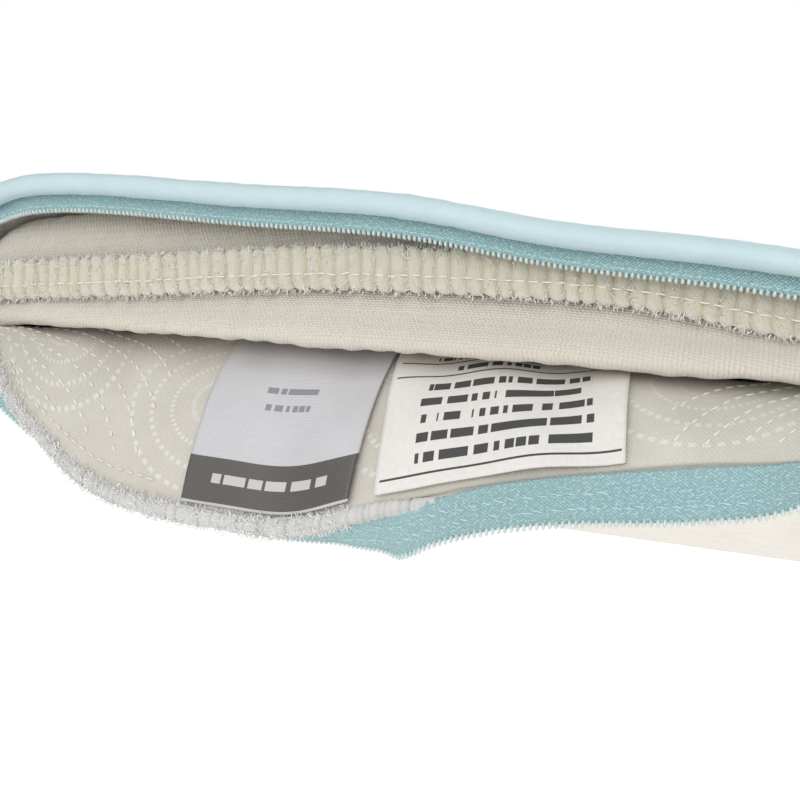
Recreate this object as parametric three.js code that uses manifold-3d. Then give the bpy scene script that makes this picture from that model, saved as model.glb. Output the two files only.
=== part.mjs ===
// Bed pillow: a zip-off cover, partly unzipped at one short end, over an inner pillow of foam.
// Millimetres. +X runs along the zipped short side, +Y to the back along the pillow, +Z up.
import * as THREE from "three";
import Module from "manifold-3d";
import { mergeVertices } from "three/addons/utils/BufferGeometryUtils.js";

const wasm = await Module();
wasm.setup();

// ---- driving dimensions ----
const overallWidth = 486; // across the piping, along X
const seamLength = 742; // front seam line to the outside of the back piping
const overallHeight = 146; // crown of the top panel above the surface it rests on
const drawnWidth = 486; // the width and height that the lips' control points below are drawn for
const drawnHeight = 146;
const cornerRadius = 27; // of the piping's centre line
const sideBow = 9; // how far the long sides pull in between the corners
const backBow = 6; // the same for the back
const sideSeamHeight = 62; // piping's centre line on the three sewn sides
const fit = 0.4; // gap between pieces that touch

const coverThickness = 2.4;
const pipingRadius = 3;
const pipingWall = 0.8;
const pipingSlit = 12; // half angle of the slit along the sleeve's inner side, in degrees
const cordSlack = 0.6; // between the sleeve and its filler cord
const rimGap = 0.7; // between the piping and the cloth's edge
const topRimRise = 2; // the top cloth's edge above the piping's centre line, on the sewn sides
const bottomRimDrop = 4.5; // the bottom cloth's edge below it
const rollRadius = 2.2; // overlocked seam allowance on the lower panel's free edge
const rollNeck = 2; // between that roll and the panel's own edge
const sideRollRadius = 1.5;
const sideRollInset = 5.5; // the sewn sides' seam allowance, behind the cloth's edge
const sideRollRise = 0.5;

const chainBelowPiping = 8; // centre of the closed chain under the upper piping
const tapeThickness = 0.8;
const tapeGap = 0.8; // between the piping and the tape behind it
const coilDepth = 2;
const coilHeight = 1.3;
const chainSlot = 1.8; // free slot between the two coils, where the slider's post runs
const lowerTapeWidth = 9.4;
const zipEndInset = 31; // zip ends this far in from the sides of the cover as drawn

const mouthShutLeft = -212; // left of this the lips are together
const mouthFullLeft = -160; // between this and the next the lips are fully apart
const mouthFullRight = 50;
const mouthShutRight = 104;
const openDepth = 13; // how far the unzipped upper lip stands out
const lipReach = 25; // how far back the top panel follows the lip outwards
const rimReach = 40; // how far back it follows the lip's height
const flapReach = 20; // how far the turned-out lower edge stands out
const hangReach = 9.5; // how far its zip tape hangs out beyond that
const crestDepth = 13; // the flap turns over this far behind the seam line
const crestHeight = 53;
const crestReach = 55; // how far back the crest lifts the bottom panel
const closedEdgeAngle = -80; // way from the roll to the panel's edge where the mouth is shut
const openEdgeAngle = 60; // and where it is open
const floorDepthFront = 330; // from the zipped end to where the lower panel lies flat
const floorDepthBack = 170; // the same from the back
const floorDepthX = 130; // and from the long sides
const frontFall = 1.8; // power of the top panel's fall towards the zipped end
const domeSquareness = 2.6; // powers of its fall towards the other three sides
const domeRoundness = 0.6;

const insertSideInset = 17;
const insertFrontInset = 14;
const insertBackInset = 17;
const insertSlack = 3.5; // clear space between the cover and the inner pillow
const caseThickness = 1.5;
const insertPush = 17; // how far the inner pillow's nose bulges into the open mouth
const noseReach = 30; // how far back that bulge dies away
const insertSeamReach = 60; // how far back the closing seam's height dies away
const insertSeamDrop = 1; // the inner case's sewn sides lie this far below the piping
const bluntPower = 24; // how close to its seams the inner case draws in
const bluntRoundness = 0.35;
const bandHeight = 12; // serged closing seam of the inner case
const bandThickness = 3;
const bandSquareness = 0.4;
const sideRidge = 4.4; // serged side seams of the inner case
const sideRidgeThickness = 2.2;
const padShare = 0.28; // each foam pad's share of the inner height
const layerGap = 0.8;
const fillSlack = 3.5; // clear space between the filling and its case
const caseSeamGap = 1.2;
const layerShare = 0.955; // the layers' length and width against the inner case's

const sizeLabelWidth = 45;
const sizeLabelPlace = -76; // middle of the label along the zip
const lawLabelWidth = 60;
const lawLabelPlace = -15;
const labelThickness = 0.35;
const labelTuck = 20; // how far the labels run back under the inner pillow
const labelStart = 0.6; // from the panel's edge to the label

const sliderLength = 12;
const sliderPlate = 1.2;
const sliderHalfHeight = 4.3;
const sliderFlange = 0.8;
const sliderFlangeDepth = 0.9;
const sliderNose = 3; // rounding of the plates at the end towards the mouth
const sliderHeel = 2.4; // and at the other end
const dividerHalf = 0.55; // the post that parts the two coils
const bridgeHalfLength = 3.5;
const bridgeHalfWidth = 1.1;
const bridgeBar = 0.8;
const bridgePost = 0.9;
const sliderPlay = 2; // from the end of the open stretch to the slider
const joinDepth = 0.2; // how far joined pieces of the slider run into each other
const pullLength = 20;
const pullHalfWidth = 2.9;
const pullThickness = 1;
const pullGap = 0.45; // between the slider's face and the pull tab
const pullWindow = 5.2; // far end of the window from the pivot
const pullWindowHalf = 1.6;
const pullRoot = 0.5; // the leaf's bar beside the pivot, on each side of it

// ---- places worked out from them ----
const halfWidth = overallWidth / 2 - pipingRadius; // to the piping's centre line
const halfLength = (seamLength - pipingRadius) / 2;
const frontY = -seamLength / 2 - pipingRadius / 2 + (flapReach + hangReach) / 2;
const middleY = frontY + halfLength;
const wide = overallWidth / drawnWidth; // the lips' outlines stretch with the cover
const tall = overallHeight / drawnHeight;
const zipEnd = (drawnWidth / 2 - zipEndInset) * wide; // stretches with the lips
const closedPiping = 74 * tall;
const chainZ = closedPiping - chainBelowPiping;
const tapeSetBack = pipingRadius + tapeThickness / 2 + tapeGap;
const rimInset = pipingRadius + coverThickness / 2 + rimGap;
const rollClosed = chainZ - chainSlot / 2 - coilHeight - fit - lowerTapeWidth - fit - rollRadius;
const rollToPanel = rollRadius + rollNeck;

// ---- curve helpers ----
const mix = (a, b, t) => a + (b - a) * t;

function ease(from, to, x) {
  const t = Math.min(Math.max((x - from) / (to - from), 0), 1);
  return t * t * (3 - 2 * t);
}

const fade = (distance, reach) => Math.exp(-((distance / reach) ** 2));

// A smooth function through control points, with flat ends.
function through(points) {
  const last = points.length - 1;
  const slopes = points.map((p, i) => {
    if (i === 0 || i === last) return 0;
    return (points[i + 1][1] - points[i - 1][1]) / (points[i + 1][0] - points[i - 1][0]);
  });
  return (x) => {
    if (x <= points[0][0]) return points[0][1];
    if (x >= points[last][0]) return points[last][1];
    const i = points.findIndex((p) => p[0] > x) - 1;
    const span = points[i + 1][0] - points[i][0];
    const t = (x - points[i][0]) / span;
    const rise = t * t * (3 - 2 * t);
    const leave = slopes[i] * span * t * (1 - t) * (1 - t);
    const arrive = slopes[i + 1] * span * t * t * (1 - t);
    return mix(points[i][1], points[i + 1][1], rise) + leave - arrive;
  };
}

// ---- the mouth: how the two lips lie along X ----
// 1 where the mouth is open, 0 where the zip is shut.
const openAt = (x) =>
  ease(mouthShutLeft * wide, mouthFullLeft * wide, x)
  * (1 - ease(mouthFullRight * wide, mouthShutRight * wide, x));

const scaled = (points) => through(points.map(([x, z]) => [x * wide, z * tall]));

const upperPipingZ = scaled([
  [-240, 62], [-225, 64], [-208, 76], [-192, 88], [-176, 92.5], [-147, 94.5], [-93, 92],
  [-47, 90], [-6, 84], [31, 81], [62, 77.5], [95, 74.3], [208, 74], [225, 66], [240, 62],
]);

// Fall of the lower lip's edge below its closed place.
const lowerEdgeFall = scaled([
  [-212, 0], [-192, 4], [-175, 10], [-154, 19], [-139, 26.5], [-124, 36.5], [-110, 42], [-85, 45.5],
  [-63, 43.5], [-37, 33], [-7, 24], [32, 16], [51, 12.5], [85, 4], [104, 0],
]);

const insertSeamZ = scaled([
  [-240, 60], [-212, 62], [-181, 66.5], [-125, 71.5], [-75, 76], [-26, 77], [12, 76],
  [49, 70.5], [85, 66.5], [120, 64], [212, 62], [240, 60],
]);

// Way the lower tape points from the edge roll: 90 is up, 0 is forward, past -90 it is turned under.
const lowerTapeAngle = through([
  [-209, 90], [-202, 50], [-190, -25], [-180, -80], [-166, -125], [-145, -150], [-120, -165], [-72, -168],
  [-58, -160], [-46, -110], [-37, -80], [-28, -66], [40, -64], [72, 0], [104, 90],
].map(([x, angle]) => [x * wide, angle]));

// ---- the plan: a rounded rectangle whose sides pull in between the corners ----
// One edge from corner to corner by a share s in -1..1, as [along, outward]; bow pulls its middle in.
function edgePoint(s, along, out, radius, bow) {
  const straight = along - radius;
  const run = Math.abs(s) * (straight + (radius * Math.PI) / 4);
  if (run <= straight) {
    const pull = bow * (1 - (run / straight) ** 2) ** 2;
    return [Math.sign(s) * run, out - pull];
  }
  const turn = (run - straight) / radius;
  return [Math.sign(s) * (straight + radius * Math.sin(turn)), out - radius * (1 - Math.cos(turn))];
}

// Plan place of (u, v) in -1..1 inside the outline inset from the piping's centre line.
function planPoint(u, v, inset) {
  const a = halfWidth - inset;
  const b = halfLength - inset;
  const r = cornerRadius - inset;
  const front = edgePoint(u, a, b, r, 0);
  const back = edgePoint(u, a, b, r, backBow);
  const side = edgePoint(v, b, a, r, sideBow);
  const corner = edgePoint(1, a, b, r, 0);
  const p = (u + 1) / 2;
  const q = (v + 1) / 2;
  const x = mix(front[0], back[0], q) + mix(-side[1], side[1], p) - mix(-corner[0], corner[0], p);
  const y = mix(-front[1], back[1], q) + side[0] - mix(-corner[1], corner[1], q);
  return [x, middleY + y];
}

const depthOf = (v) => (v + 1) * halfLength; // distance behind the front edge
const shareOf = (depth) => depth / halfLength - 1;

// ---- the two cover surfaces, each the middle of its cloth ----
const domeSide = (t) => (1 - Math.abs(t) ** domeSquareness) ** domeRoundness;

// Top panel: a dome that rises gently behind the zipped end and plumply at the other three sides.
function topSurface(u, v) {
  const [x, y] = planPoint(u, v, rimInset);
  const depth = depthOf(v);
  const sideRim = sideSeamHeight * tall + topRimRise;
  const rim = mix(sideRim, Math.max(upperPipingZ(x), sideRim), fade(depth, rimReach));
  const front = 1 - Math.abs(v) ** frontFall;
  const rise = (v < 0 ? front : domeSide(v)) * domeSide(u);
  const crown = overallHeight - coverThickness / 2;
  const lip = openDepth * openAt(x) * fade(depth, lipReach);
  return new THREE.Vector3(x, y - lip, mix(rim, crown, rise));
}

// Middle of the roll along the lower panel's free edge.
function rollCentre(x) {
  return new THREE.Vector3(
    x, frontY + tapeSetBack - flapReach * openAt(x), rollClosed - lowerEdgeFall(x));
}

// Where the lower panel's edge meets the roll: under it when closed, behind and above it when fallen.
function panelEdge(x) {
  const angle = THREE.MathUtils.degToRad(mix(closedEdgeAngle, openEdgeAngle, openAt(x)));
  const away = new THREE.Vector3(0, Math.cos(angle), Math.sin(angle));
  return rollCentre(x).addScaledVector(away, rollToPanel);
}

const settle = (distance, reach) => 1 - (1 - Math.min(distance / reach, 1)) ** 2;

// Bottom panel: flat where it rests, curving up to the seams; at the mouth its edge turns out and falls.
function bottomSurface(u, v) {
  const [x, y] = planPoint(u, v, rimInset);
  const depth = depthOf(v);
  const rested = coverThickness / 2;
  const closedEdge = rollClosed - rollToPanel;
  const sideRim = sideSeamHeight * tall - bottomRimDrop;
  const inward = (d) => {
    const front = mix(sideRim, closedEdge, ease(halfWidth, zipEnd, Math.abs(x)));
    const rim = mix(sideRim, front, fade(d, rimReach));
    const toSide = settle((1 - Math.abs(u)) * halfWidth, floorDepthX);
    const toEnd = Math.min(settle(d, floorDepthFront), settle(2 * halfLength - d, floorDepthBack));
    return mix(rim, rested, toSide * toEnd);
  };
  const lift = (crestHeight * tall - inward(crestDepth)) * openAt(x);
  if (depth >= crestDepth) {
    return new THREE.Vector3(x, y, inward(depth) + lift * fade(depth - crestDepth, crestReach));
  }
  const crestY = planPoint(u, shareOf(crestDepth), rimInset)[1];
  const crest = new THREE.Vector3(x, crestY, inward(crestDepth) + lift);
  const edge = panelEdge(x);
  edge.y += planPoint(u, -1, rimInset)[1] - (frontY + rimInset); // round the corner's arc
  edge.z = mix(edge.z, sideRim, ease(zipEnd, halfWidth - rimInset, Math.abs(x)));
  const t = 1 - depth / crestDepth;
  const bulge = openAt(x) / 2;
  const along = mix(t, Math.sin((t * Math.PI) / 2), bulge);
  const down = mix(t, 1 - Math.cos((t * Math.PI) / 2), bulge);
  return new THREE.Vector3(x, mix(crest.y, edge.y, along), mix(crest.z, edge.z, down));
}

// ---- the inner pillow's surfaces, set inside the cover's ----
const insertU = (u) => u * (1 - insertSideInset / halfWidth);

function insertV(v) {
  const front = shareOf(insertFrontInset);
  const back = 1 - insertBackInset / halfLength;
  return mix(front, back, (v + 1) / 2);
}

// A unit normal of a surface (u, v) -> point, by differences; it points up on a level surface.
function normalOf(surface, u, v) {
  const step = 0.002;
  const clampU = (t) => Math.min(Math.max(t, -1), 1);
  const du = surface(clampU(u + step), v).sub(surface(clampU(u - step), v));
  const dv = surface(u, clampU(v + step)).sub(surface(u, clampU(v - step)));
  return du.cross(dv).normalize();
}

// Blunt edge: 0 at the rim, near 1 a few centimetres in.
const blunt = (u, v) =>
  ((1 - Math.abs(u) ** bluntPower) * (1 - Math.abs(v) ** bluntPower)) ** bluntRoundness;

function insertSurface(shell, side) {
  return (u, v) => {
    const cu = insertU(u);
    const cv = insertV(v);
    const [x, y] = planPoint(cu, cv, rimInset);
    const depth = depthOf(cv);
    const push = insertPush * openAt(x) * fade(depth - insertFrontInset, noseReach);
    const under = shareOf(Math.max(depth - push, crestDepth));
    const point = shell(cu, under);
    const away = coverThickness / 2 + insertSlack;
    point.addScaledVector(normalOf(shell, cu, under), side * -away);
    point.x = x;
    point.y = y - push;
    point.z = mix(insertSeam(x, depth), point.z, blunt(u, v)) + (side * caseSeamGap) / 2;
    return point;
  };
}

const insertSeam = (x, depth) =>
  mix(sideSeamHeight * tall - insertSeamDrop, insertSeamZ(x), fade(depth, insertSeamReach));

const insertTop = insertSurface(topSurface, 1);
const insertBottom = insertSurface(bottomSurface, -1);

// ---- solid builders ----
function geometryOf(points, faces) {
  const geometry = new THREE.BufferGeometry().setFromPoints(points);
  geometry.setIndex(faces.flat());
  geometry.computeVertexNormals();
  return geometry;
}

// A closed solid between two grids of points, lower first, with walls around the edge.
function gridSolid(columns, rows, lower, upper) {
  const across = columns.length;
  const index = (i, j) => j * across + i;
  const count = across * rows.length;
  const points = [];
  for (const side of [lower, upper]) {
    for (const v of rows) columns.forEach((u) => points.push(side(u, v)));
  }
  const faces = [];
  for (let j = 0; j < rows.length - 1; j++) {
    for (let i = 0; i < across - 1; i++) {
      const [a, b, c, d] = [index(i, j), index(i + 1, j), index(i + 1, j + 1), index(i, j + 1)];
      faces.push([a + count, b + count, c + count], [a + count, c + count, d + count]);
      faces.push([a, c, b], [a, d, c]);
    }
  }
  const rim = [];
  for (let i = 0; i < across - 1; i++) rim.push(index(i, 0));
  for (let j = 0; j < rows.length - 1; j++) rim.push(index(across - 1, j));
  for (let i = across - 1; i > 0; i--) rim.push(index(i, rows.length - 1));
  for (let j = rows.length - 1; j > 0; j--) rim.push(index(0, j));
  rim.forEach((a, k) => {
    const b = rim[(k + 1) % rim.length];
    faces.push([a, b, b + count], [a, b + count, a + count]);
  });
  return geometryOf(points, faces);
}

// Cloth of a given surface: the solid between two offsets along its normal.
function cloth(surface, columns, rows, from, to) {
  const at = (offset) => (u, v) => surface(u, v).addScaledVector(normalOf(surface, u, v), offset);
  return gridSolid(columns, rows, at(from), at(to));
}

// A section [out, up] carried along stations {place, out, up}; an open run gets end caps.
function sweep(stations, section, closed) {
  const n = section.length;
  const points = stations.flatMap(({ place, out, up }) =>
    section.map(([o, h]) => place.clone().addScaledVector(out, o).addScaledVector(up, h)));
  const faces = [];
  const runs = closed ? stations.length : stations.length - 1;
  for (let s = 0; s < runs; s++) {
    const next = (s + 1) % stations.length;
    for (let k = 0; k < n; k++) {
      const l = (k + 1) % n;
      faces.push([s * n + k, next * n + k, next * n + l], [s * n + k, next * n + l, s * n + l]);
    }
  }
  if (!closed) {
    const end = (stations.length - 1) * n;
    for (let k = 1; k < n - 1; k++) faces.push([0, k, k + 1], [end, end + k + 1, end + k]);
  }
  return geometryOf(points, faces);
}

function roundSection(radius, sides, squash = 1) {
  return Array.from({ length: sides }, (_, k) => {
    const angle = (2 * Math.PI * k) / sides;
    return [radius * Math.cos(angle), radius * squash * Math.sin(angle)];
  });
}

const boxSection = (o0, o1, h0, h1) => [[o0, h0], [o1, h0], [o1, h1], [o0, h1]];

// A tape's section, its long sides cut in parts so that it can twist.
function tapeSection(h0, h1, parts) {
  const half = tapeThickness / 2;
  const heights = steps(h0, h1, parts);
  return [...heights.map((h) => [half, h]), ...heights.reverse().map((h) => [-half, h])];
}

const steps = (from, to, count) =>
  Array.from({ length: count + 1 }, (_, i) => mix(from, to, i / count));

function solidOf(geometry) {
  const bare = geometry.clone();
  bare.deleteAttribute("normal");
  bare.deleteAttribute("uv");
  const merged = mergeVertices(bare, 1e-4);
  return new wasm.Manifold(new wasm.Mesh({
    numProp: 3,
    vertProperties: merged.attributes.position.array,
    triVerts: new Uint32Array(merged.index.array),
  }));
}

function joined(...geometries) {
  const mesh = geometries.map(solidOf).reduce((a, b) => a.add(b)).getMesh();
  const geometry = new THREE.BufferGeometry();
  geometry.setAttribute("position", new THREE.BufferAttribute(mesh.vertProperties, 3));
  geometry.setIndex(new THREE.BufferAttribute(mesh.triVerts, 1));
  geometry.computeVertexNormals();
  return geometry;
}

function block(x0, x1, y0, y1, z0, z1) {
  const geometry = new THREE.BoxGeometry(x1 - x0, y1 - y0, z1 - z0);
  return geometry.translate((x0 + x1) / 2, (y0 + y1) / 2, (z0 + z1) / 2);
}

// ---- grids: closer together at the seams, and in the flap ----
const columns = steps(-1, 1, 24).map((t) => mix(t, Math.sin((t * Math.PI) / 2), 0.75));
const bodyRows = steps(0, 1, 12).slice(1).map((t) =>
  shareOf(mix(crestDepth, 2 * halfLength, (1 - Math.cos(Math.PI * t)) / 2)));
const rows = [...steps(0, crestDepth, 4).map(shareOf), ...bodyRows];
const layerSteps = steps(-1, 1, 10).map((t) => Math.sin((t * Math.PI) / 2));

// ---- cover ----
const halfCloth = coverThickness / 2;
const coverTop = () => cloth(topSurface, columns, rows, -halfCloth, halfCloth);
const coverBottom = () => cloth(bottomSurface, columns, rows, -halfCloth, halfCloth);

// Closer steps towards the corners.
const seamStep = (t) => mix(t, Math.sin((t * Math.PI) / 2), 0.6);

// Shares of the outline along the sewn sides, from near the zipped end round the back.
const sewnSides = () => [
  ...steps(-0.9, 1, 14).map((t) => [1, seamStep(t)]),
  ...steps(1, -1, 12).slice(1).map((t) => [seamStep(t), 1]),
  ...steps(1, -0.9, 14).slice(1).map((t) => [-1, seamStep(t)]),
];

// Stations once round the outline, with the upper lip's shape along the front.
function pipingStations() {
  const around = [
    ...steps(-1, 1, 32).map((t) => [seamStep(t), -1]),
    ...steps(-1, 1, 18).slice(1).map((t) => [1, seamStep(t)]),
    ...steps(1, -1, 14).slice(1).map((t) => [seamStep(t), 1]),
    ...steps(1, -1, 18).slice(1, -1).map((t) => [-1, seamStep(t)]),
  ];
  const places = around.map(([u, v]) => {
    const [x, y] = planPoint(u, v, 0);
    const z = mix(sideSeamHeight * tall, upperPipingZ(x), fade(depthOf(v), rimReach));
    return new THREE.Vector3(x, y - openDepth * openAt(x) * fade(depthOf(v), lipReach), z);
  });
  return levelStations(places, true);
}

// Stations along a run of places, with "out" level and to the right of the way it runs.
function levelStations(places, closed) {
  const last = places.length - 1;
  const above = new THREE.Vector3(0, 0, 1);
  return places.map((place, i) => {
    const before = closed ? places[(i + last) % places.length] : places[Math.max(i - 1, 0)];
    const after = closed ? places[(i + 1) % places.length] : places[Math.min(i + 1, last)];
    const way = after.clone().sub(before).normalize();
    const out = way.clone().cross(above).normalize();
    return { place, out, up: out.clone().cross(way).normalize() };
  });
}

// The bias strip round the filler cord: a tube slit along its inner side.
function pipingSleeve() {
  const arc = (radius, from, to) => steps(from, to, 5).map((angle) => [
    radius * Math.cos(THREE.MathUtils.degToRad(angle)),
    radius * Math.sin(THREE.MathUtils.degToRad(angle)),
  ]);
  const outer = 180 - pipingSlit;
  const inner = outer - 8;
  const section = [...arc(pipingRadius, -outer, outer), ...arc(pipingRadius - pipingWall, inner, -inner)];
  return sweep(pipingStations(), section, true);
}

const pipingCord = () =>
  sweep(pipingStations(), roundSection(pipingRadius - pipingWall - cordSlack, 5), true);

// The overlocked seam allowance inside the three sewn sides.
function coverSideOverlock() {
  const places = sewnSides().map(([u, v]) => {
    const [x, y] = planPoint(u, v, rimInset + sideRollInset);
    return new THREE.Vector3(x, y, sideSeamHeight * tall + sideRollRise);
  });
  return sweep(levelStations(places, false), roundSection(sideRollRadius, 6), false);
}

// ---- zip ----
const zipRun = steps(-zipEnd, zipEnd, 80);
const forwards = new THREE.Vector3(0, -1, 0);
const upwards = new THREE.Vector3(0, 0, 1);

const upperZipStations = () => zipRun.map((x) => ({
  place: new THREE.Vector3(
    x, frontY + tapeSetBack - openDepth * openAt(x), upperPipingZ(x) - chainBelowPiping),
  out: forwards.clone(),
  up: upwards.clone(),
}));

const upperTapeFoot = chainSlot / 2 + coilHeight + fit;

const zipTapeUpper = () => sweep(
  upperZipStations(), tapeSection(upperTapeFoot, chainBelowPiping - pipingRadius, 1), false);

const zipCoilUpper = () => sweep(upperZipStations(), boxSection(
  -coilDepth / 2, coilDepth / 2, chainSlot / 2, chainSlot / 2 + coilHeight), false);

// The lower half turns with its tape: "up" is the way the tape points from the roll.
const lowerZipStations = () => zipRun.map((x) => {
  const angle = THREE.MathUtils.degToRad(lowerTapeAngle(x));
  const up = new THREE.Vector3(0, -Math.cos(angle), Math.sin(angle));
  const out = new THREE.Vector3(0, -Math.sin(angle), -Math.cos(angle));
  return { place: rollCentre(x), out, up };
});

const lowerTapeFoot = rollRadius + fit;
const lowerTapeHead = lowerTapeFoot + lowerTapeWidth;

const zipTapeLower = () => sweep(
  lowerZipStations(), tapeSection(lowerTapeFoot, lowerTapeHead, 5), false);

const zipCoilLower = () => sweep(lowerZipStations(), boxSection(
  -coilDepth / 2, coilDepth / 2, lowerTapeHead + fit, lowerTapeHead + fit + coilHeight), false);

const coverEdgeOverlock = () => sweep(lowerZipStations(), roundSection(rollRadius, 6), false);

// ---- zip slider, drawn about the closed chain's centre with its mouth end at -X ----
const sliderGap = coilDepth / 2 + fit;
const sliderFace = sliderGap + sliderPlate;
const pivotOut = sliderFace + pullGap + pullThickness / 2;

// A plate broad at the mouth's end and narrowed by rounded corners at the other.
function sliderPlateShape() {
  const half = sliderLength / 2;
  const tip = sliderHalfHeight * 0.72;
  const heel = sliderHalfHeight * 0.45;
  const heelCorner = sliderHalfHeight * 0.8;
  const shape = new THREE.Shape();
  shape.moveTo(-half, -tip);
  shape.quadraticCurveTo(-half + sliderNose / 3, -sliderHalfHeight, -half + sliderNose, -sliderHalfHeight);
  shape.lineTo(half - sliderHeel, -sliderHalfHeight);
  shape.quadraticCurveTo(half, -heelCorner, half, -heel);
  shape.lineTo(half, heel);
  shape.quadraticCurveTo(half, heelCorner, half - sliderHeel, sliderHalfHeight);
  shape.lineTo(-half + sliderNose, sliderHalfHeight);
  shape.quadraticCurveTo(-half + sliderNose / 3, sliderHalfHeight, -half, tip);
  shape.closePath();
  return shape;
}

// A plate shape standing in the XZ plane, from y0 to y1.
function standing(shape, y0, y1) {
  const geometry = new THREE.ExtrudeGeometry(shape, {
    depth: y1 - y0, bevelEnabled: false, curveSegments: 4,
  });
  return geometry.rotateX(Math.PI / 2).translate(0, y1, 0);
}

function zipSliderBody() {
  const half = sliderLength / 2;
  const top = sliderHalfHeight - sliderFlange;
  const face = sliderGap + joinDepth;
  const fold = sliderGap + joinDepth - sliderFlangeDepth;
  const flange = (y0, y1, z0) =>
    block(-half + sliderNose, half - sliderHeel, y0, y1, z0, z0 + sliderFlange);
  const bar = pivotOut + pullThickness / 2 + fit;
  const bridgeSide = (x0, x1, inner) =>
    block(x0, x1, -bar - bridgeBar, inner, -bridgeHalfWidth, bridgeHalfWidth);
  return joined(
    standing(sliderPlateShape(), -sliderFace, -sliderGap),
    standing(sliderPlateShape(), sliderGap, sliderFace),
    block(-half + pullRoot, -half + pullRoot + sliderNose, -face, face, -dividerHalf, dividerHalf),
    flange(-face, -fold, top),
    flange(-face, -fold, -sliderHalfHeight),
    flange(fold, face, top),
    flange(fold, face, -sliderHalfHeight),
    bridgeSide(-bridgeHalfLength, bridgePost - bridgeHalfLength, -sliderFace + joinDepth),
    bridgeSide(bridgeHalfLength - bridgePost, bridgeHalfLength, -sliderFace + joinDepth),
    bridgeSide(-bridgeHalfLength, bridgeHalfLength, -bar),
  );
}

// The pull tab: a long leaf with a window that the slider's bridge passes through; it turns at x = 0.
function zipPullTab() {
  const shoulder = pullLength - 2;
  const leaf = new THREE.Shape();
  leaf.moveTo(-pullRoot, -pullHalfWidth);
  leaf.lineTo(shoulder, -pullHalfWidth);
  leaf.quadraticCurveTo(pullLength, -pullHalfWidth, pullLength, 0);
  leaf.quadraticCurveTo(pullLength, pullHalfWidth, shoulder, pullHalfWidth);
  leaf.lineTo(-pullRoot, pullHalfWidth);
  leaf.closePath();
  const windowHole = new THREE.Path();
  windowHole.moveTo(pullRoot, -pullWindowHalf);
  windowHole.lineTo(pullRoot, pullWindowHalf);
  windowHole.lineTo(pullWindow, pullWindowHalf);
  windowHole.lineTo(pullWindow, -pullWindowHalf);
  windowHole.closePath();
  leaf.holes.push(windowHole);
  return standing(leaf, -pivotOut - pullThickness / 2, -pivotOut + pullThickness / 2);
}

// ---- inner pillow ----
// One half of the inner case; its inner face stays on its own side of the seam.
function insertCase(surface, side) {
  const inner = (u, v) => {
    const point = surface(u, v);
    const seam = insertSeam(point.x, depthOf(insertV(v))) + (side * caseSeamGap) / 2;
    point.addScaledVector(normalOf(surface, u, v), -side * caseThickness);
    point.z = side > 0 ? Math.max(point.z, seam) : Math.min(point.z, seam);
    return point;
  };
  return side > 0 ? gridSolid(columns, rows, inner, surface) : gridSolid(columns, rows, surface, inner);
}

// The serged closing seam stands on the nose of the inner pillow as a thick band.
function insertOverlockFront() {
  const reach = 1 - (1.3 * cornerRadius) / halfWidth;
  const places = steps(-reach, reach, 40).map((u) => {
    const place = insertTop(u, -1).add(insertBottom(u, -1)).multiplyScalar(0.5);
    place.y -= 3 * fit + bandThickness / 2;
    return place;
  });
  const squared = (t) => Math.sign(t) * Math.abs(t) ** bandSquareness;
  const section = roundSection(1, 8).map(([o, h]) => [
    (squared(o) * bandThickness) / 2,
    (squared(h) * bandHeight) / 2,
  ]);
  return sweep(levelStations(places, false), section, false);
}

// The serged side and back seams stand out from the inner case as one ridge.
function insertOverlockSides() {
  const places = sewnSides().map(([u, v]) =>
    insertTop(u, v).add(insertBottom(u, v)).multiplyScalar(0.5));
  const half = sideRidgeThickness / 2;
  const section = boxSection(fit, fit + sideRidge, -half, half);
  return sweep(levelStations(places, false), section, false);
}

// One layer of the filling, between two shares of the height inside the case.
function layer(low, high) {
  const away = caseThickness + fillSlack;
  const inside = (surface, side) => (u, v) => surface(u * layerShare, v * layerShare)
    .addScaledVector(normalOf(surface, u * layerShare, v * layerShare), side * away);
  const floor = inside(insertBottom, 1);
  const roof = inside(insertTop, -1);
  const at = (share, gap) => (u, v) => {
    const point = floor(u, v).lerp(roof(u, v), share);
    point.z += gap;
    return point;
  };
  const lower = at(low, low > 0 ? layerGap / 2 : 0);
  const upper = at(high, high < 1 ? -layerGap / 2 : 0);
  return gridSolid(layerSteps, layerSteps, lower, upper);
}

// ---- labels: flat on the flap's inner face, from the roll back under the inner pillow ----
function label(middle, width) {
  const reach = halfWidth - cornerRadius + ((cornerRadius - rimInset) * Math.PI) / 4;
  const across = steps(middle - width / 2, middle + width / 2, 6).map((x) => (x * wide) / reach);
  const along = [...steps(labelStart, crestDepth, 5), labelTuck].map(shareOf);
  const from = halfCloth + 2 * fit;
  return cloth(bottomSurface, across, along, from, from + labelThickness);
}

// ---- assembly ----
const group = new THREE.Group();

function add(name, geometry, color, roughness, metalness = 0) {
  const material = new THREE.MeshStandardMaterial({ color, roughness, metalness });
  const mesh = new THREE.Mesh(geometry, material);
  mesh.name = name;
  group.add(mesh);
  return mesh;
}

const aqua = 0x9fccd0;
const satinAqua = 0xc6e0e5;
const coverWhite = 0xe6e4de;
const knitWhite = 0xdcd6cc;
const cream = 0xe4dcbe;

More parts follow.
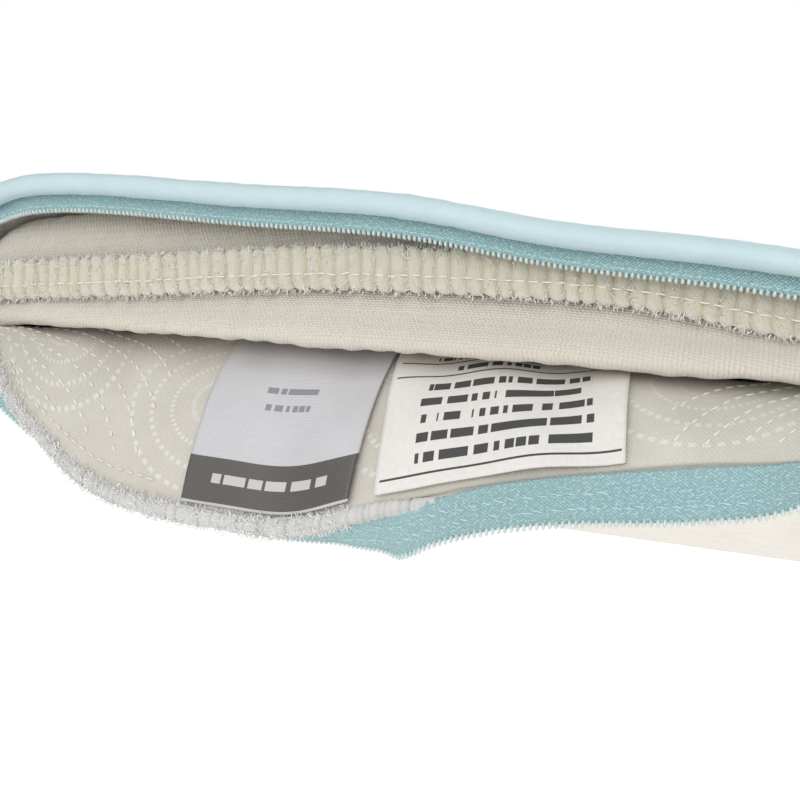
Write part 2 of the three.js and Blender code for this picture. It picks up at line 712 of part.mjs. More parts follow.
add("cover_top_panel", coverTop(), coverWhite, 0.9);
add("cover_bottom_panel", coverBottom(), coverWhite, 0.9);
add("piping_sleeve", pipingSleeve(), satinAqua, 0.35);
add("piping_filler_cord", pipingCord(), 0xf2f2ee, 0.9);
add("cover_side_overlock", coverSideOverlock(), 0xf4f4f2, 0.9);
add("cover_edge_overlock", coverEdgeOverlock(), 0xf4f4f2, 0.9);
add("zip_tape_upper", zipTapeUpper(), aqua, 0.8);
add("zip_coil_upper", zipCoilUpper(), aqua, 0.35);
add("zip_tape_lower", zipTapeLower(), aqua, 0.8);
add("zip_coil_lower", zipCoilLower(), aqua, 0.35);
add("size_label", label(sizeLabelPlace, sizeLabelWidth), 0xe2dedc, 0.4);
add("law_label", label(lawLabelPlace, lawLabelWidth), 0xeceae4, 0.8);
add("insert_case_top", insertCase(insertTop, 1), knitWhite, 0.95);
add("insert_case_bottom", insertCase(insertBottom, -1), knitWhite, 0.95);
add("insert_front_overlock", insertOverlockFront(), cream, 0.95);
add("insert_side_overlock", insertOverlockSides(), cream, 0.95);
add("foam_pad_upper", layer(1 - padShare, 1), 0xf0e6c8, 1);
add("shredded_foam_fill", layer(padShare, 1 - padShare), 0xe8dcc0, 1);
add("foam_pad_lower", layer(0, padShare), 0xf0e6c8, 1);

const sliderX = mouthShutRight * wide + sliderLength / 2 + sliderPlay;
const slider = new THREE.Group();
slider.position.set(sliderX, frontY + tapeSetBack, chainZ);
for (const [name, geometry] of [["zip_slider", zipSliderBody()], ["zip_pull_tab", zipPullTab()]]) {
  slider.add(add(name, geometry, aqua, 0.4, 0.3));
}
group.add(slider);

// The origin is the bottom centre of the whole pillow's box.
group.updateMatrixWorld(true);
const box = new THREE.Box3().setFromObject(group, true);
group.position.set(-(box.min.x + box.max.x) / 2, -(box.min.y + box.max.y) / 2, -box.min.z);

export default group;
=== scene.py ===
"""Bed pillow: a piped, zip-off cover, unzipped along one short end, round a foam-filled inner pillow.

Shapes are worked out in millimetres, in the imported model's frame: +X runs along the zipped end,
+Y to the back of the pillow and +Z up. Meshes are made in metres.
"""
import math

import bpy
import numpy as np
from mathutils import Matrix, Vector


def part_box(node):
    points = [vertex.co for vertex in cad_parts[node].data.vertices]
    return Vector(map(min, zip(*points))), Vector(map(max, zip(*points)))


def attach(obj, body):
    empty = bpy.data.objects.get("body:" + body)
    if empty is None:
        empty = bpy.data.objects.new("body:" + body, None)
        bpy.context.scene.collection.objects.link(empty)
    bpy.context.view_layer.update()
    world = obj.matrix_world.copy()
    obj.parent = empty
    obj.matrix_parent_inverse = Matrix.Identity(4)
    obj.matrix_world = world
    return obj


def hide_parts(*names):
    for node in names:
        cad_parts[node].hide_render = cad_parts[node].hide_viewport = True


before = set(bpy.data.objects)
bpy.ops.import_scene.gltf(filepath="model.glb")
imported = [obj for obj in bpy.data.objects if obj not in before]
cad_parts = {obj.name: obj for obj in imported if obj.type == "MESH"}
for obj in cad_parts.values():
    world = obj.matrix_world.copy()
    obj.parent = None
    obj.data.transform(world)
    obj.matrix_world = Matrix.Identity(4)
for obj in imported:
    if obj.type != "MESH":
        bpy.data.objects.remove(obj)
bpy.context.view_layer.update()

MM = 0.001
TAU = 2 * math.pi

# ---- sizes, in millimetres ----
PIPING_HIGH = np.array(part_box("piping_sleeve")[1]) / MM
PIPING_RADIUS = 3.2
HALF_WIDTH = PIPING_HIGH[0] - 3  # to the piping's centre line
BACK_Y = PIPING_HIGH[1] - 3
HALF_LENGTH = 369.5
MIDDLE_Y = BACK_Y - HALF_LENGTH
FRONT_Y = MIDDLE_Y - HALF_LENGTH  # seam line of the zipped end
CORNER = 27
SIDE_BOW, BACK_BOW = 9, 6
SIDE_SEAM = 62  # height of the piping on the three sewn sides
CROWN = 146
COVER_CLOTH = 2.4
RIM_INSET = 4.9  # the cover cloth's edge, inside the piping's centre line

ZIP_END = 212
CHAIN_DROP = 8  # the chain's centre below the piping's
TAPE_BACK = 4.2  # the tape's plane behind the piping's centre line
ROLL_RADIUS = 2.35  # of the serged roll along the lower lip
ROLL_CLOSED = 51.4  # its height where the zip is closed
ROLL_TO_CLOTH = 0.8
TAPE_HEAD = 12  # from the roll's middle to the lower tape's free edge
COIL_PITCH = 1.42
TAPE_CLOTH, TAPE_THREAD = 0.7, 0.34

OPEN_DEPTH = 13  # how far the upper lip stands out where the mouth is open
FLAP_REACH = 20  # and the lower lip's free edge
CREST_DEPTH = 13  # of the lower panel's crest, from which its flap hangs
CREST_Z = 55.8

INSERT_SIDE, INSERT_FRONT, INSERT_BACK = 17, 14, 17  # the inner pillow's insets from the seams
INSERT_SLACK = 3.5
INSERT_PUSH = 17  # how far its nose comes out into the mouth
HANG_OUT, HANG_DOWN = 12, 5.6  # how the inner pillow bulges out and down over the lower lip
NOSE_LIFT = 2.6  # and up towards the upper one
SWELL_REACH = 18
SEAM_GAP = 0.7  # between the case's two cloths at its seam
CASE_CLOTH = 1.5
BAND_HEIGHT = 12.5
BAND_THICKNESS = 3.2
LAYER_GAP = 1.2  # between two layers of the filling


# ---- curves ----
def mix(a, b, t):
    """a at t = 0, b at t = 1, a straight line between."""
    return a + (b - a) * t


def ease(start, end, x):
    """0 before start, 1 after end, with a smooth cubic between."""
    t = np.clip((x - start) / (end - start), 0, 1)
    return t * t * (3 - 2 * t)


def fade(distance, reach):
    """A bell: e to the minus (distance / reach) squared."""
    return np.exp(-((distance / reach) ** 2))


def through(points):
    """A smooth function through control points: cubics whose slope at each point is that of the line
    between its two neighbours, and level at both ends."""
    xs, ys = np.array(points, float).T
    slopes = np.zeros(len(xs))
    slopes[1:-1] = (ys[2:] - ys[:-2]) / (xs[2:] - xs[:-2])

    def value(x):
        x = np.clip(x, xs[0], xs[-1])
        i = np.clip(np.searchsorted(xs, x, "right") - 1, 0, len(xs) - 2)
        span = xs[i + 1] - xs[i]
        t = (x - xs[i]) / span
        rise = mix(ys[i], ys[i + 1], t * t * (3 - 2 * t))
        return rise + slopes[i] * span * t * (1 - t) ** 2 - slopes[i + 1] * span * t**2 * (1 - t)

    return value


def unevenness(seed, *coords, size, waves=7):
    """Smooth random waves between about -1 and 1: sines in random directions with lengths near size."""
    rng = np.random.default_rng(seed)
    total = 0
    for _ in range(waves):
        direction = rng.normal(size=len(coords))
        direction /= np.linalg.norm(direction)
        length = size * rng.uniform(0.7, 1.6)
        phase = rng.uniform(0, TAU)
        along = sum(d * c for d, c in zip(direction, coords))
        total = total + np.sin(TAU * along / length + phase)
    return total / math.sqrt(waves) / 1.4


# ---- how the two lips of the mouth lie along X ----
def open_at(x):
    """1 where the mouth is unzipped, 0 where the zip is closed."""
    return ease(-212, -160, x) * (1 - ease(50, 104, x))


upper_piping_z = through([
    (-240, 62), (-225, 64), (-208, 76), (-192, 88), (-176, 92.5), (-147, 94.5), (-93, 92),
    (-47, 90), (-6, 84), (31, 81), (62, 77.5), (95, 74.3), (208, 74), (225, 66), (240, 62),
])

lower_edge_fall = through([
    (-212, 0), (-190, 0), (-172, 4), (-163, 12), (-154, 22), (-142, 31), (-128, 39.5), (-112, 44),
    (-85, 45.5), (-63, 44.5), (-37, 35.5), (-7, 27), (32, 19), (51, 16.2), (85, 8), (104, 0),
])

insert_seam_z = through([
    (-240, 60), (-212, 62), (-181, 66.5), (-125, 71.5), (-75, 76), (-26, 77), (12, 76),
    (49, 70.5), (85, 66.5), (120, 64), (212, 62), (240, 60),
])

# Way the lower tape points from its roll, in degrees: 90 is up, 0 forward, past -90 turned under.
lower_tape_angle = through([
    (-209, 90), (-197, 40), (-185, -50), (-174, -85), (-163, -112), (-150, -145), (-120, -165),
    (-72, -166), (-58, -159), (-48, -142), (-40, -124), (-33, -92), (-24, -66), (0, -58), (40, -64),
    (72, 0), (104, 90),
])


# ---- the plan ----
def edge_points(s, along, out, radius, bow):
    """One side of a rounded rectangle by its share s in -1..1 from corner to corner, as (along, outward):
    straight, then an arc to the corner's middle; a bow pulls the straight part in."""
    straight = along - radius
    run = np.abs(s) * (straight + radius * math.pi / 4)
    turn = np.maximum(run - straight, 0) / radius
    level = np.minimum(run, straight)
    a = np.sign(s) * (level + radius * np.sin(turn))
    b = out - radius * (1 - np.cos(turn)) - bow * (1 - (level / straight) ** 2) ** 2
    return a, b


def plan(u, v, inset):
    """Plan place of (u, v) in -1..1: the four sides of the inset outline blended across the middle."""
    a, b, r = HALF_WIDTH - inset, HALF_LENGTH - inset, CORNER - inset
    front = edge_points(u, a, b, r, 0)
    back = edge_points(u, a, b, r, BACK_BOW)
    side = edge_points(v, b, a, r, SIDE_BOW)
    corner = edge_points(1.0, a, b, r, 0)
    p, q = (u + 1) / 2, (v + 1) / 2
    x = mix(front[0], back[0], q) + mix(-side[1], side[1], p) - mix(-corner[0], corner[0], p)
    y = mix(-front[1], back[1], q) + side[0] - mix(-corner[1], corner[1], q)
    return x, MIDDLE_Y + y


def depth_of(v):
    return (v + 1) * HALF_LENGTH


def share_of(depth):
    return depth / HALF_LENGTH - 1


def stack(x, y, z):
    return np.stack(np.broadcast_arrays(x, y, z), -1).astype(float)


# ---- the cover's two surfaces, each the middle of its cloth ----
def dome(t):
    """A plump half-section: (1 - |t| to the 2.6) to the 0.6."""
    return np.clip(1 - np.abs(t) ** 2.6, 0, 1) ** 0.6


def top_surface(u, v):
    """The top panel: from the lips' rim to the crown by the product of two domes, gentle at the zip."""
    x, y = plan(u, v, RIM_INSET)
    depth = depth_of(v)
    side_rim = SIDE_SEAM + 2
    rim = mix(side_rim, np.maximum(upper_piping_z(x), side_rim), fade(depth, 40))
    rise = np.where(v < 0, 1 - np.abs(v) ** 1.8, dome(v)) * dome(u)
    return stack(x, y - OPEN_DEPTH * open_at(x) * fade(depth, 25), mix(rim, CROWN - COVER_CLOTH / 2, rise))


def roll_centre(x):
    """Middle of the overlocked roll along the lower panel's free edge."""
    return stack(x, FRONT_Y + TAPE_BACK - FLAP_REACH * open_at(x), ROLL_CLOSED - lower_edge_fall(x))


def settle(distance, reach):
    """0 at the seam, 1 from reach onwards, a parabola between."""
    return 1 - (1 - np.clip(distance / reach, 0, 1)) ** 2


def bottom_surface(u, v):
    """The lower panel: flat where it rests, curved up to the seams; at the mouth it goes over a crest and
    its edge turns out and falls along half a straight line and half a quarter ellipse."""
    x, y = plan(u, v, RIM_INSET)
    depth = depth_of(v) + 0 * x
    side_rim = SIDE_SEAM - 4.5
    front_rim = mix(side_rim, ROLL_CLOSED - ROLL_TO_CLOTH, ease(HALF_WIDTH, ZIP_END, np.abs(x)))
    to_side = settle((1 - np.abs(u)) * HALF_WIDTH, 130)

    def inward(d):
        rim = mix(side_rim, front_rim, fade(d, 40))
        to_end = np.minimum(settle(d, 330), settle(2 * HALF_LENGTH - d, 170))
        return mix(rim, COVER_CLOTH / 2, to_side * to_end)

    lift = (CREST_Z - inward(CREST_DEPTH)) * open_at(x)
    body_z = inward(depth) + lift * fade(np.maximum(depth - CREST_DEPTH, 0), 55)
    crest_y = plan(u, share_of(CREST_DEPTH), RIM_INSET)[1]
    angle = np.radians(mix(-80, 60, open_at(x)))
    edge = roll_centre(x)
    edge_y = edge[..., 1] + ROLL_TO_CLOTH * np.cos(angle)
    edge_y = edge_y + plan(u, -1.0 + 0 * u, RIM_INSET)[1] - (FRONT_Y + RIM_INSET)
    edge_z = edge[..., 2] + ROLL_TO_CLOTH * np.sin(angle)
    edge_z = mix(edge_z, side_rim, ease(ZIP_END - 3, ZIP_END + 9, np.abs(x)))
    t = np.clip(1 - depth / CREST_DEPTH, 0, 1)
    bulge = open_at(x) / 2
    along = mix(t, np.sin(t * math.pi / 2), bulge)
    down = mix(t, 1 - np.cos(t * math.pi / 2), bulge)
    in_flap = depth < CREST_DEPTH
    crest_z = inward(CREST_DEPTH + 0 * x) + lift
    return stack(
        x,
        np.where(in_flap, mix(crest_y, edge_y, along), y),
        np.where(in_flap, mix(crest_z, edge_z, down), body_z),
    )


def unit(vectors):
    return vectors / np.maximum(np.linalg.norm(vectors, axis=-1, keepdims=True), 1e-9)


def normals(surface, u, v):
    """Unit normals of a surface by differences; they point up on a level one."""
    step = 0.0015
    across = surface(np.clip(u + step, -1, 1), v) - surface(np.clip(u - step, -1, 1), v)
    along = surface(u, np.clip(v + step, -1, 1)) - surface(u, np.clip(v - step, -1, 1))
    return unit(np.cross(across, along))


# ---- the inner pillow's surfaces ----
def filled_at(x):
    """Like open_at, for the inner pillow, which fills the mouth further into its left corner."""
    return ease(-226, -176, x) * (1 - ease(50, 104, x))


def insert_surface(shell, side):
    """The inner case: the cover's own surface set in by its slack and drawn to a blunt seam at the rim. In
    the mouth its nose is pushed out; below the seam half a sine wave over SWELL_REACH bulges it out and
    down over the lower lip, and above it the top is lifted a little."""
    def surface(u, v):
        cu = u * (1 - INSERT_SIDE / HALF_WIDTH)
        cv = mix(share_of(INSERT_FRONT), 1 - INSERT_BACK / HALF_LENGTH, (v + 1) / 2)
        x, y = plan(cu, cv, RIM_INSET)
        depth = depth_of(cv)
        push = INSERT_PUSH * filled_at(x) * fade(depth - INSERT_FRONT, 30)
        under = share_of(np.maximum(depth - push, CREST_DEPTH))
        away = side * (COVER_CLOTH / 2 + INSERT_SLACK)
        z = (shell(cu, under) - away * normals(shell, cu, under))[..., 2]
        from_seam = depth - INSERT_FRONT
        at_mouth = filled_at(x) * fade(from_seam, 90)
        blunt = np.clip((1 - np.abs(u) ** 24) * (1 - np.abs(v) ** mix(24, 110, at_mouth)), 0, 1) ** 0.3
        z = z + NOSE_LIFT * filled_at(x) * fade(from_seam, 30) * (side > 0)
        seam = mix(SIDE_SEAM - 1, insert_seam_z(x), fade(depth, 60))
        swell = np.sin(math.pi * np.clip(from_seam / SWELL_REACH, 0, 1)) * filled_at(x) * (side < 0)
        z = mix(seam, z, blunt) + side * SEAM_GAP / 2 - HANG_DOWN * swell**2
        return stack(x, y - push - HANG_OUT * swell, z)

    return surface


insert_top = insert_surface(top_surface, 1)
insert_bottom = insert_surface(bottom_surface, -1)


# ---- mesh building ----
def grid_faces(rows, columns, wrap_rows=False, wrap_columns=False, start=0):
    """Quads between neighbours of a rows x columns grid of points."""
    j = np.arange(rows if wrap_rows else rows - 1)[:, None]
    i = np.arange(columns if wrap_columns else columns - 1)[None, :]
    j2, i2 = (j + 1) % rows, (i + 1) % columns
    quads = np.stack([j * columns + i, j * columns + i2, j2 * columns + i2, j2 * columns + i], -1)
    return quads.reshape(-1, 4) + start


def new_object(name, data):
    thing = bpy.data.objects.new(name, data)
    bpy.context.scene.collection.objects.link(thing)
    return thing


def tube_faces(rings, around, closed=False):
    """Faces of a tube: its side, and a flat end at each end where it isn't closed on itself."""
    side = grid_faces(rings, around, wrap_rows=closed, wrap_columns=True)[:, ::-1]
    end = np.arange(around)[None, :]
    return [side] if closed else [side, end, end[:, ::-1] + (rings - 1) * around]


def piece(name, points, faces, uv=None, marks=None):
    """A mesh object from points in millimetres and face arrays of any widths; uv and marks are per point."""
    points = np.asarray(points, float).reshape(-1, 3)
    faces = [np.asarray(f, np.int64) for f in faces if len(f)]
    loops = np.concatenate([f.ravel() for f in faces])
    sizes = np.concatenate([np.full(len(f), f.shape[1]) for f in faces])
    mesh = bpy.data.meshes.new(name)
    mesh.vertices.add(len(points))
    mesh.vertices.foreach_set("co", (points * MM).astype(np.float32).ravel())
    mesh.loops.add(len(loops))
    mesh.loops.foreach_set("vertex_index", loops.astype(np.int32))
    mesh.polygons.add(len(sizes))
    mesh.polygons.foreach_set("loop_start", (np.cumsum(sizes) - sizes).astype(np.int32))
    mesh.update(calc_edges=True)
    mesh.polygons.foreach_set("use_smooth", np.full(len(sizes), True))
    if uv is not None:
        layer = mesh.uv_layers.new(name="cloth")
        layer.data.foreach_set("uv", np.asarray(uv, np.float32).reshape(-1, 2)[loops].ravel())
    for key, values in (marks or {}).items():
        attribute = mesh.attributes.new(key, "FLOAT", "POINT")
        attribute.data.foreach_set("value", np.asarray(values, np.float32).ravel())
    mesh.validate()
    return new_object(name, mesh)


def cloth_lengths(points):
    """Flat coordinates of a draped grid, in millimetres: lengths run along its rows and columns from the
    middle one."""
    rows, columns = points.shape[:2]
    across = np.linalg.norm(np.diff(points, axis=1), axis=-1)
    along = np.linalg.norm(np.diff(points, axis=0), axis=-1)
    a = np.concatenate([np.zeros((rows, 1)), np.cumsum(across, 1)], 1)
    b = np.concatenate([np.zeros((1, columns)), np.cumsum(along, 0)], 0)
    return np.stack([a - a[:, columns // 2, None], b], -1)


def cloth_piece(name, outer, inner, marks=None):
    """A closed piece of cloth between two grids of points; outer faces up where the cloth is level. A
    mark is a pair of values: the outer grid's and the inner one's."""
    rows, columns = outer.shape[:2]
    count = rows * columns
    up = grid_faces(rows, columns)
    down = grid_faces(rows, columns, start=count)[:, ::-1]
    index = np.arange(count).reshape(rows, columns)
    rim = np.concatenate([index[0, :-1], index[:-1, -1], index[-1, :0:-1], index[:0:-1, 0]])
    after = np.roll(rim, -1)
    walls = np.stack([rim, rim + count, after + count, after], -1)
    uv = cloth_lengths(outer)
    both = {key: np.repeat(values, count) for key, values in (marks or {}).items()}
    return piece(
        name, np.concatenate([outer.reshape(-1, 3), inner.reshape(-1, 3)]), [up, down, walls],
        np.concatenate([uv.reshape(-1, 2)] * 2), both)


def seam_steps(count, strength):
    """Steps from -1 to 1, closer together at the ends."""
    t = np.linspace(-1, 1, count)
    return mix(t, np.sin(t * math.pi / 2), strength)


def level_frames(places, closed=False):
    """Frames along a run of places: out is level and to the right of the way, up leans with the run."""
    if closed:
        way = np.roll(places, -1, 0) - np.roll(places, 1, 0)
    else:
        way = np.gradient(places, axis=0)
    way = unit(way)
    out = unit(np.cross(way, [0, 0, 1.0]))
    return out, np.cross(out, way)


def run_lengths(places):
    return np.concatenate([[0], np.cumsum(np.linalg.norm(np.diff(places, axis=0), axis=1))])


def follow(at, s, *fields):
    """Fields of vectors known at lengths s along a run, read off at the lengths at."""
    return [np.stack([np.interp(at, s, field[:, k]) for k in range(3)], -1) for field in fields]


def swept_piece(name, places, out, up, section, closed=False, marks=None):
    """A section of (out, up) offsets, one for all places or one for each, carried along them."""
    section = np.broadcast_to(section, (len(places), *np.shape(section)[-2:]))
    points = places[:, None] + section[..., :1] * out[:, None] + section[..., 1:] * up[:, None]
    n, k = points.shape[:2]
    around = np.linalg.norm(points - np.roll(points, 1, 1), axis=-1)
    around = np.cumsum(around, 1) - around[:, :1]
    uv = np.stack([np.broadcast_to(run_lengths(places)[:, None], (n, k)), around], -1)
    return piece(name, points, tube_faces(n, k, closed), uv, marks)


def copies(name, shape, faces, places, axes, marks=None):
    """One small closed shape repeated at places, each turned by its own three axes."""
    shape, places, axes = np.asarray(shape), np.asarray(places), np.asarray(axes)
    points = places[:, None] + np.einsum("pk,mkc->mpc", shape, axes)
    offsets = (np.arange(len(places)) * len(shape))[:, None, None]
    spread = [(np.asarray(f)[None] + offsets).reshape(-1, np.shape(f)[1]) for f in faces]
    many = {key: np.tile(values, len(places)) for key, values in (marks or {}).items()}
    return piece(name, points, spread, None, many)


def bead(length, width, height, around=6, stations=4):
    """A small rounded stitch lying along its first axis: rings on a half-ellipse profile, closed by ends."""
    t = np.cos(np.linspace(math.pi, 0, stations + 2)[1:-1])
    girth = np.sqrt(1 - t**2) ** 0.7
    turn = np.arange(around) * TAU / around
    x = np.repeat(t * length / 2, around)
    y = (girth[:, None] * np.cos(turn) * width / 2).ravel()
    z = (girth[:, None] * np.sin(turn) * height / 2).ravel()
    return np.stack([x, y, z], -1), tube_faces(stations, around)


def turns(sides):
    """Angles once round, from the side away from out, where the flat coordinates meet."""
    return math.pi + np.arange(sides) * TAU / sides


def round_section(radius, sides):
    return radius * np.stack([np.cos(turns(sides)), np.sin(turns(sides))], -1)


# ---- materials ----
def operator(operation, swapped=False):
    """A method that adds one Math node of its socket and, where there is one, another value."""
    def method(self, *other):
        return self.math(operation, *other, self) if swapped else self.math(operation, self, *other)

    return method


class Value:
    """A shader socket that carries a number; arithmetic on it adds Math nodes to its finish."""

    def __init__(self, finish, socket):
        self.finish, self.socket = finish, socket

    def math(self, operation, *values):
        return self.finish.node("ShaderNodeMath", {"operation": operation}, dict(enumerate(values)))

    __add__ = __radd__ = operator("ADD")
    __sub__ = operator("SUBTRACT")
    __rsub__ = operator("SUBTRACT", swapped=True)
    __mul__ = __rmul__ = operator("MULTIPLY")
    __truediv__ = operator("DIVIDE")
    __gt__ = operator("GREATER_THAN")
    __lt__ = operator("LESS_THAN")
    sine, floor, root = operator("SINE"), operator("FLOOR"), operator("SQRT")
    size, at_most = operator("ABSOLUTE"), operator("MINIMUM")
    share = operator("FRACT")  # the part after the decimal point


class Finish:
    """A material being built round its Principled shader; constants go straight on the shader."""

    def __init__(self, name, colour, roughness, **constants):
        self.material = bpy.data.materials.new(name)
        self.material.use_nodes = True
        self.tree = self.material.node_tree
        self.shader = self.tree.nodes["Principled BSDF"]
        self.shader.inputs["Base Color"].default_value = (*linear(colour), 1)
        self.shader.inputs["Roughness"].default_value = roughness
        for name, value in constants.items():
            self.shader.inputs[name.replace("_", " ")].default_value = value

    def node(self, kind, settings=None, sockets=None, output=0):
        """Any node: its settings first, then the values or links of its sockets; gives one output."""
        made = self.tree.nodes.new(kind)
        for key, value in (settings or {}).items():
            setattr(made, key, value)
        for key, value in (sockets or {}).items():
            if isinstance(value, Value):
                self.tree.links.new(value.socket, made.inputs[key])
            else:
                made.inputs[key].default_value = value
        return Value(self, made.outputs[output])

    def place(self):
        return self.node("ShaderNodeTexCoord", output="Object")

    def cloth(self):
        """The two flat coordinates of the cloth, in millimetres."""
        uv = self.node("ShaderNodeUVMap", {"uv_map": "cloth"})
        apart = self.node("ShaderNodeSeparateXYZ", None, {0: uv})
        return apart, Value(self, apart.socket.node.outputs[1])

    def mark(self, name):
        return self.node("ShaderNodeAttribute", {"attribute_name": name}, output="Fac")

    def noise(self, scale, detail=2.0, where=None, roughness=0.5):
        where = where or self.place()
        return self.node("ShaderNodeTexNoise", None, {
            "Vector": where, "Scale": scale, "Detail": detail, "Roughness": roughness})

    def together(self, x, y, z=0.0):
        return self.node("ShaderNodeCombineXYZ", None, {0: x, 1: y, 2: z})

    def blend(self, share, low, high):
        """The colour low where share is 0 and high where it is 1; either may be a colour or a link."""
        sockets = {"Factor": share}
        for key, value in ((6, low), (7, high)):
            sockets[key] = value if isinstance(value, Value) else (*linear(value), 1)
        return self.node("ShaderNodeMix", {"data_type": "RGBA"}, sockets, output=2)

    def bump(self, height, distance, strength, on=None):
        """A bump in metres of height, on top of another where one is given."""
        sockets = {"Height": height, "Distance": distance, "Strength": strength}
        if on:
            sockets["Normal"] = on
        return self.node("ShaderNodeBump", None, sockets)

    def feed(self, **links):
        for key, value in links.items():
            self.tree.links.new(value.socket, self.shader.inputs[key.replace("_", " ")])
        return self.material


def linear(colour):
    """Linear light of an sRGB colour given in 0 to 255."""
    share = np.array(colour) / 255
    return tuple(np.where(share <= 0.04045, share / 12.92, ((share + 0.055) / 1.055) ** 2.4))


# The cover cloth's inside tones are its outside tones darkened: painted shade for the shade inside the
# cover. Each pair's two tones differ at random.
SHADED_INSIDE, SHADED_INSIDE_DARK = (212, 208, 199), (190, 184, 172)
OUTSIDE, OUTSIDE_SHADE = (236, 232, 224), (216, 211, 201)
# the tape's second aqua is painted shade for its weave hollows, its third painted glints on the weave's
# crowns
AQUA, AQUA_VALLEY_SHADE, AQUA_CROWN_GLINT = (160, 193, 195), (130, 172, 176), (204, 222, 224)
SATIN, SATIN_DEEP = (193, 212, 216), (164, 194, 200)
KNIT, KNIT_SHADE = (229, 223, 212), (210, 202, 188)
# the cream yarn's second tone is painted shade between serging bundles, its third the painted highlight on
# loop tops and the fluff's tone
CREAM, CREAM_GAP_SHADE, CREAM_PALE = (236, 228, 202), (212, 197, 154), (250, 247, 238)


def jacquard_cloth():
    """A ribbed knit with raised rings of short dashes, ring after ring in a staggered layout; its inside is
    the outside's tone darkened, as painted shade for the shade inside the cover."""
    f = Finish("jacquard_cover", SHADED_INSIDE, 0.85, Sheen_Weight=0.25, Sheen_Roughness=0.5)
    a, b = f.cloth()
    ribs = (a * (TAU / 1.15)).sine() * (b * (TAU / 1.4)).sine()
    cell = 64.0
    row = (b / cell).floor()
    x = ((a / cell + row * 0.5).share() - 0.5) * cell
    y = ((b / cell).share() - 0.5) * cell
    far = (x * x + y * y).root()
    turn = f.node("ShaderNodeMath", {"operation": "ARCTAN2"}, {0: y, 1: x})
    ring = ((far * (TAU / 6.4)).sine() > 0.8) * (far < cell * 0.47) * (far > 5.0)
    stitch = ring * ((turn * 56.0).sine() > -0.2)
    cloud = f.noise(70, 3)
    inner, outer = f.blend(cloud, SHADED_INSIDE_DARK, SHADED_INSIDE), f.blend(cloud, OUTSIDE_SHADE, OUTSIDE)
    # the inside face takes the darker tones as painted shade
    face = f.blend(f.mark("outside"), inner, outer)
    f.feed(Normal=f.bump(stitch, 0.0005, 0.4, on=f.bump(ribs, 0.00012, 0.5)),
           Base_Color=f.blend(stitch * 0.3, face, (246, 244, 239)),
           Roughness=0.88 - stitch * 0.3)
    return f.material


def satin_bias():
    """Satin cut on the bias: close diagonal twill lines, a soft sheen and clouds of a deeper tone."""
    f = Finish("satin_bias", SATIN, 0.38, Sheen_Weight=0.3, Sheen_Roughness=0.35, Specular_IOR_Level=0.6)
    a, b = f.cloth()
    twill = ((a + b * 1.4) * (TAU / 0.8)).sine()
    yarn = f.noise(1.0, 2, where=f.together(a * 0.25, b * 2.2))
    f.feed(Base_Color=f.blend(f.noise(110, 3) * 0.55 + twill * 0.1, SATIN, SATIN_DEEP),
           Roughness=0.3 + yarn * 0.22,
           Normal=f.bump(twill, 0.00006, 0.5, on=f.bump(f.noise(260, 2), 0.0004, 0.35)))
    return f.material


def zip_tape():
    """Twill tape: pebbly weave, about 0.9 mm a repeat, darker in its hollows as painted shade, with pale
    random flecks on its crowns as painted glints.
    """
    f = Finish("zip_twill_tape", AQUA, 0.7, Sheen_Weight=0.2)
    a, b = f.cloth()
    wander = f.noise(1.0, 1, where=f.together(a * 0.8, b * 0.8))
    weave = ((a + wander) * (TAU / 0.95)).sine() * ((b + wander * 0.8) * (TAU / 0.85)).sine()
    fleck = f.noise(1.0, 1, where=f.together(a * 1.15, b * 1.6))
    # painted shade: darker where the weave's bumps are low
    tone = f.blend(weave * 0.4 + 0.5, AQUA_VALLEY_SHADE, AQUA)
    # painted glints: pale random flecks, only where the weave is raised
    f.feed(Base_Color=f.blend((fleck > 0.54) * (weave > -0.2) * 0.6, tone, AQUA_CROWN_GLINT),
           Normal=f.bump(weave, 0.00016, 0.8, on=f.bump(fleck, 0.0001, 0.5)),
           Roughness=0.55 + fleck * 0.3)
    return f.material


def coil_plastic():
    """Nylon monofilament, pearly, with a little variation from tooth to tooth."""
    f = Finish("coil_monofilament", (196, 212, 210), 0.3, Coat_Weight=0.25, Specular_IOR_Level=0.65)
    f.feed(Base_Color=f.blend(f.noise(700, 1), (158, 184, 183), (226, 234, 232)))
    return f.material


def yarn(name, colour, gap_shade, pale):
    """Serging yarn: fine fibres along the bundles, a darker tone between bundles as painted shade, pale loop
    tops as painted highlight, and random pale fluff.
    """
    f = Finish(name, colour, 0.92, Sheen_Weight=0.6, Sheen_Roughness=0.6)
    a, b = f.cloth()
    wander = f.noise(420, 2)
    fibres = (a * (TAU / 0.32) + wander * 5.0 + b * 0.8).sine()
    fluff = f.noise(1500, 3)
    # painted shade between the bundles, then painted highlight on the loops' tops
    body = f.blend(f.mark("crown"), gap_shade, colour)
    tips = f.blend(f.mark("tip"), body, pale)
    f.feed(Base_Color=f.blend(fluff * 0.35, tips, pale),
           Normal=f.bump(fibres, 0.00022, 0.75, on=f.bump(fluff, 0.0004, 0.7)))
    return f.material


def thread(name, colour):
    """Spun thread: a fine grain and a satin shine that varies a little."""
    f = Finish(name, colour, 0.6, Sheen_Weight=0.4)
    f.feed(Normal=f.bump(f.noise(2600, 1), 0.0001, 0.5), Roughness=0.5 + f.noise(800, 1) * 0.25)
    return f.material


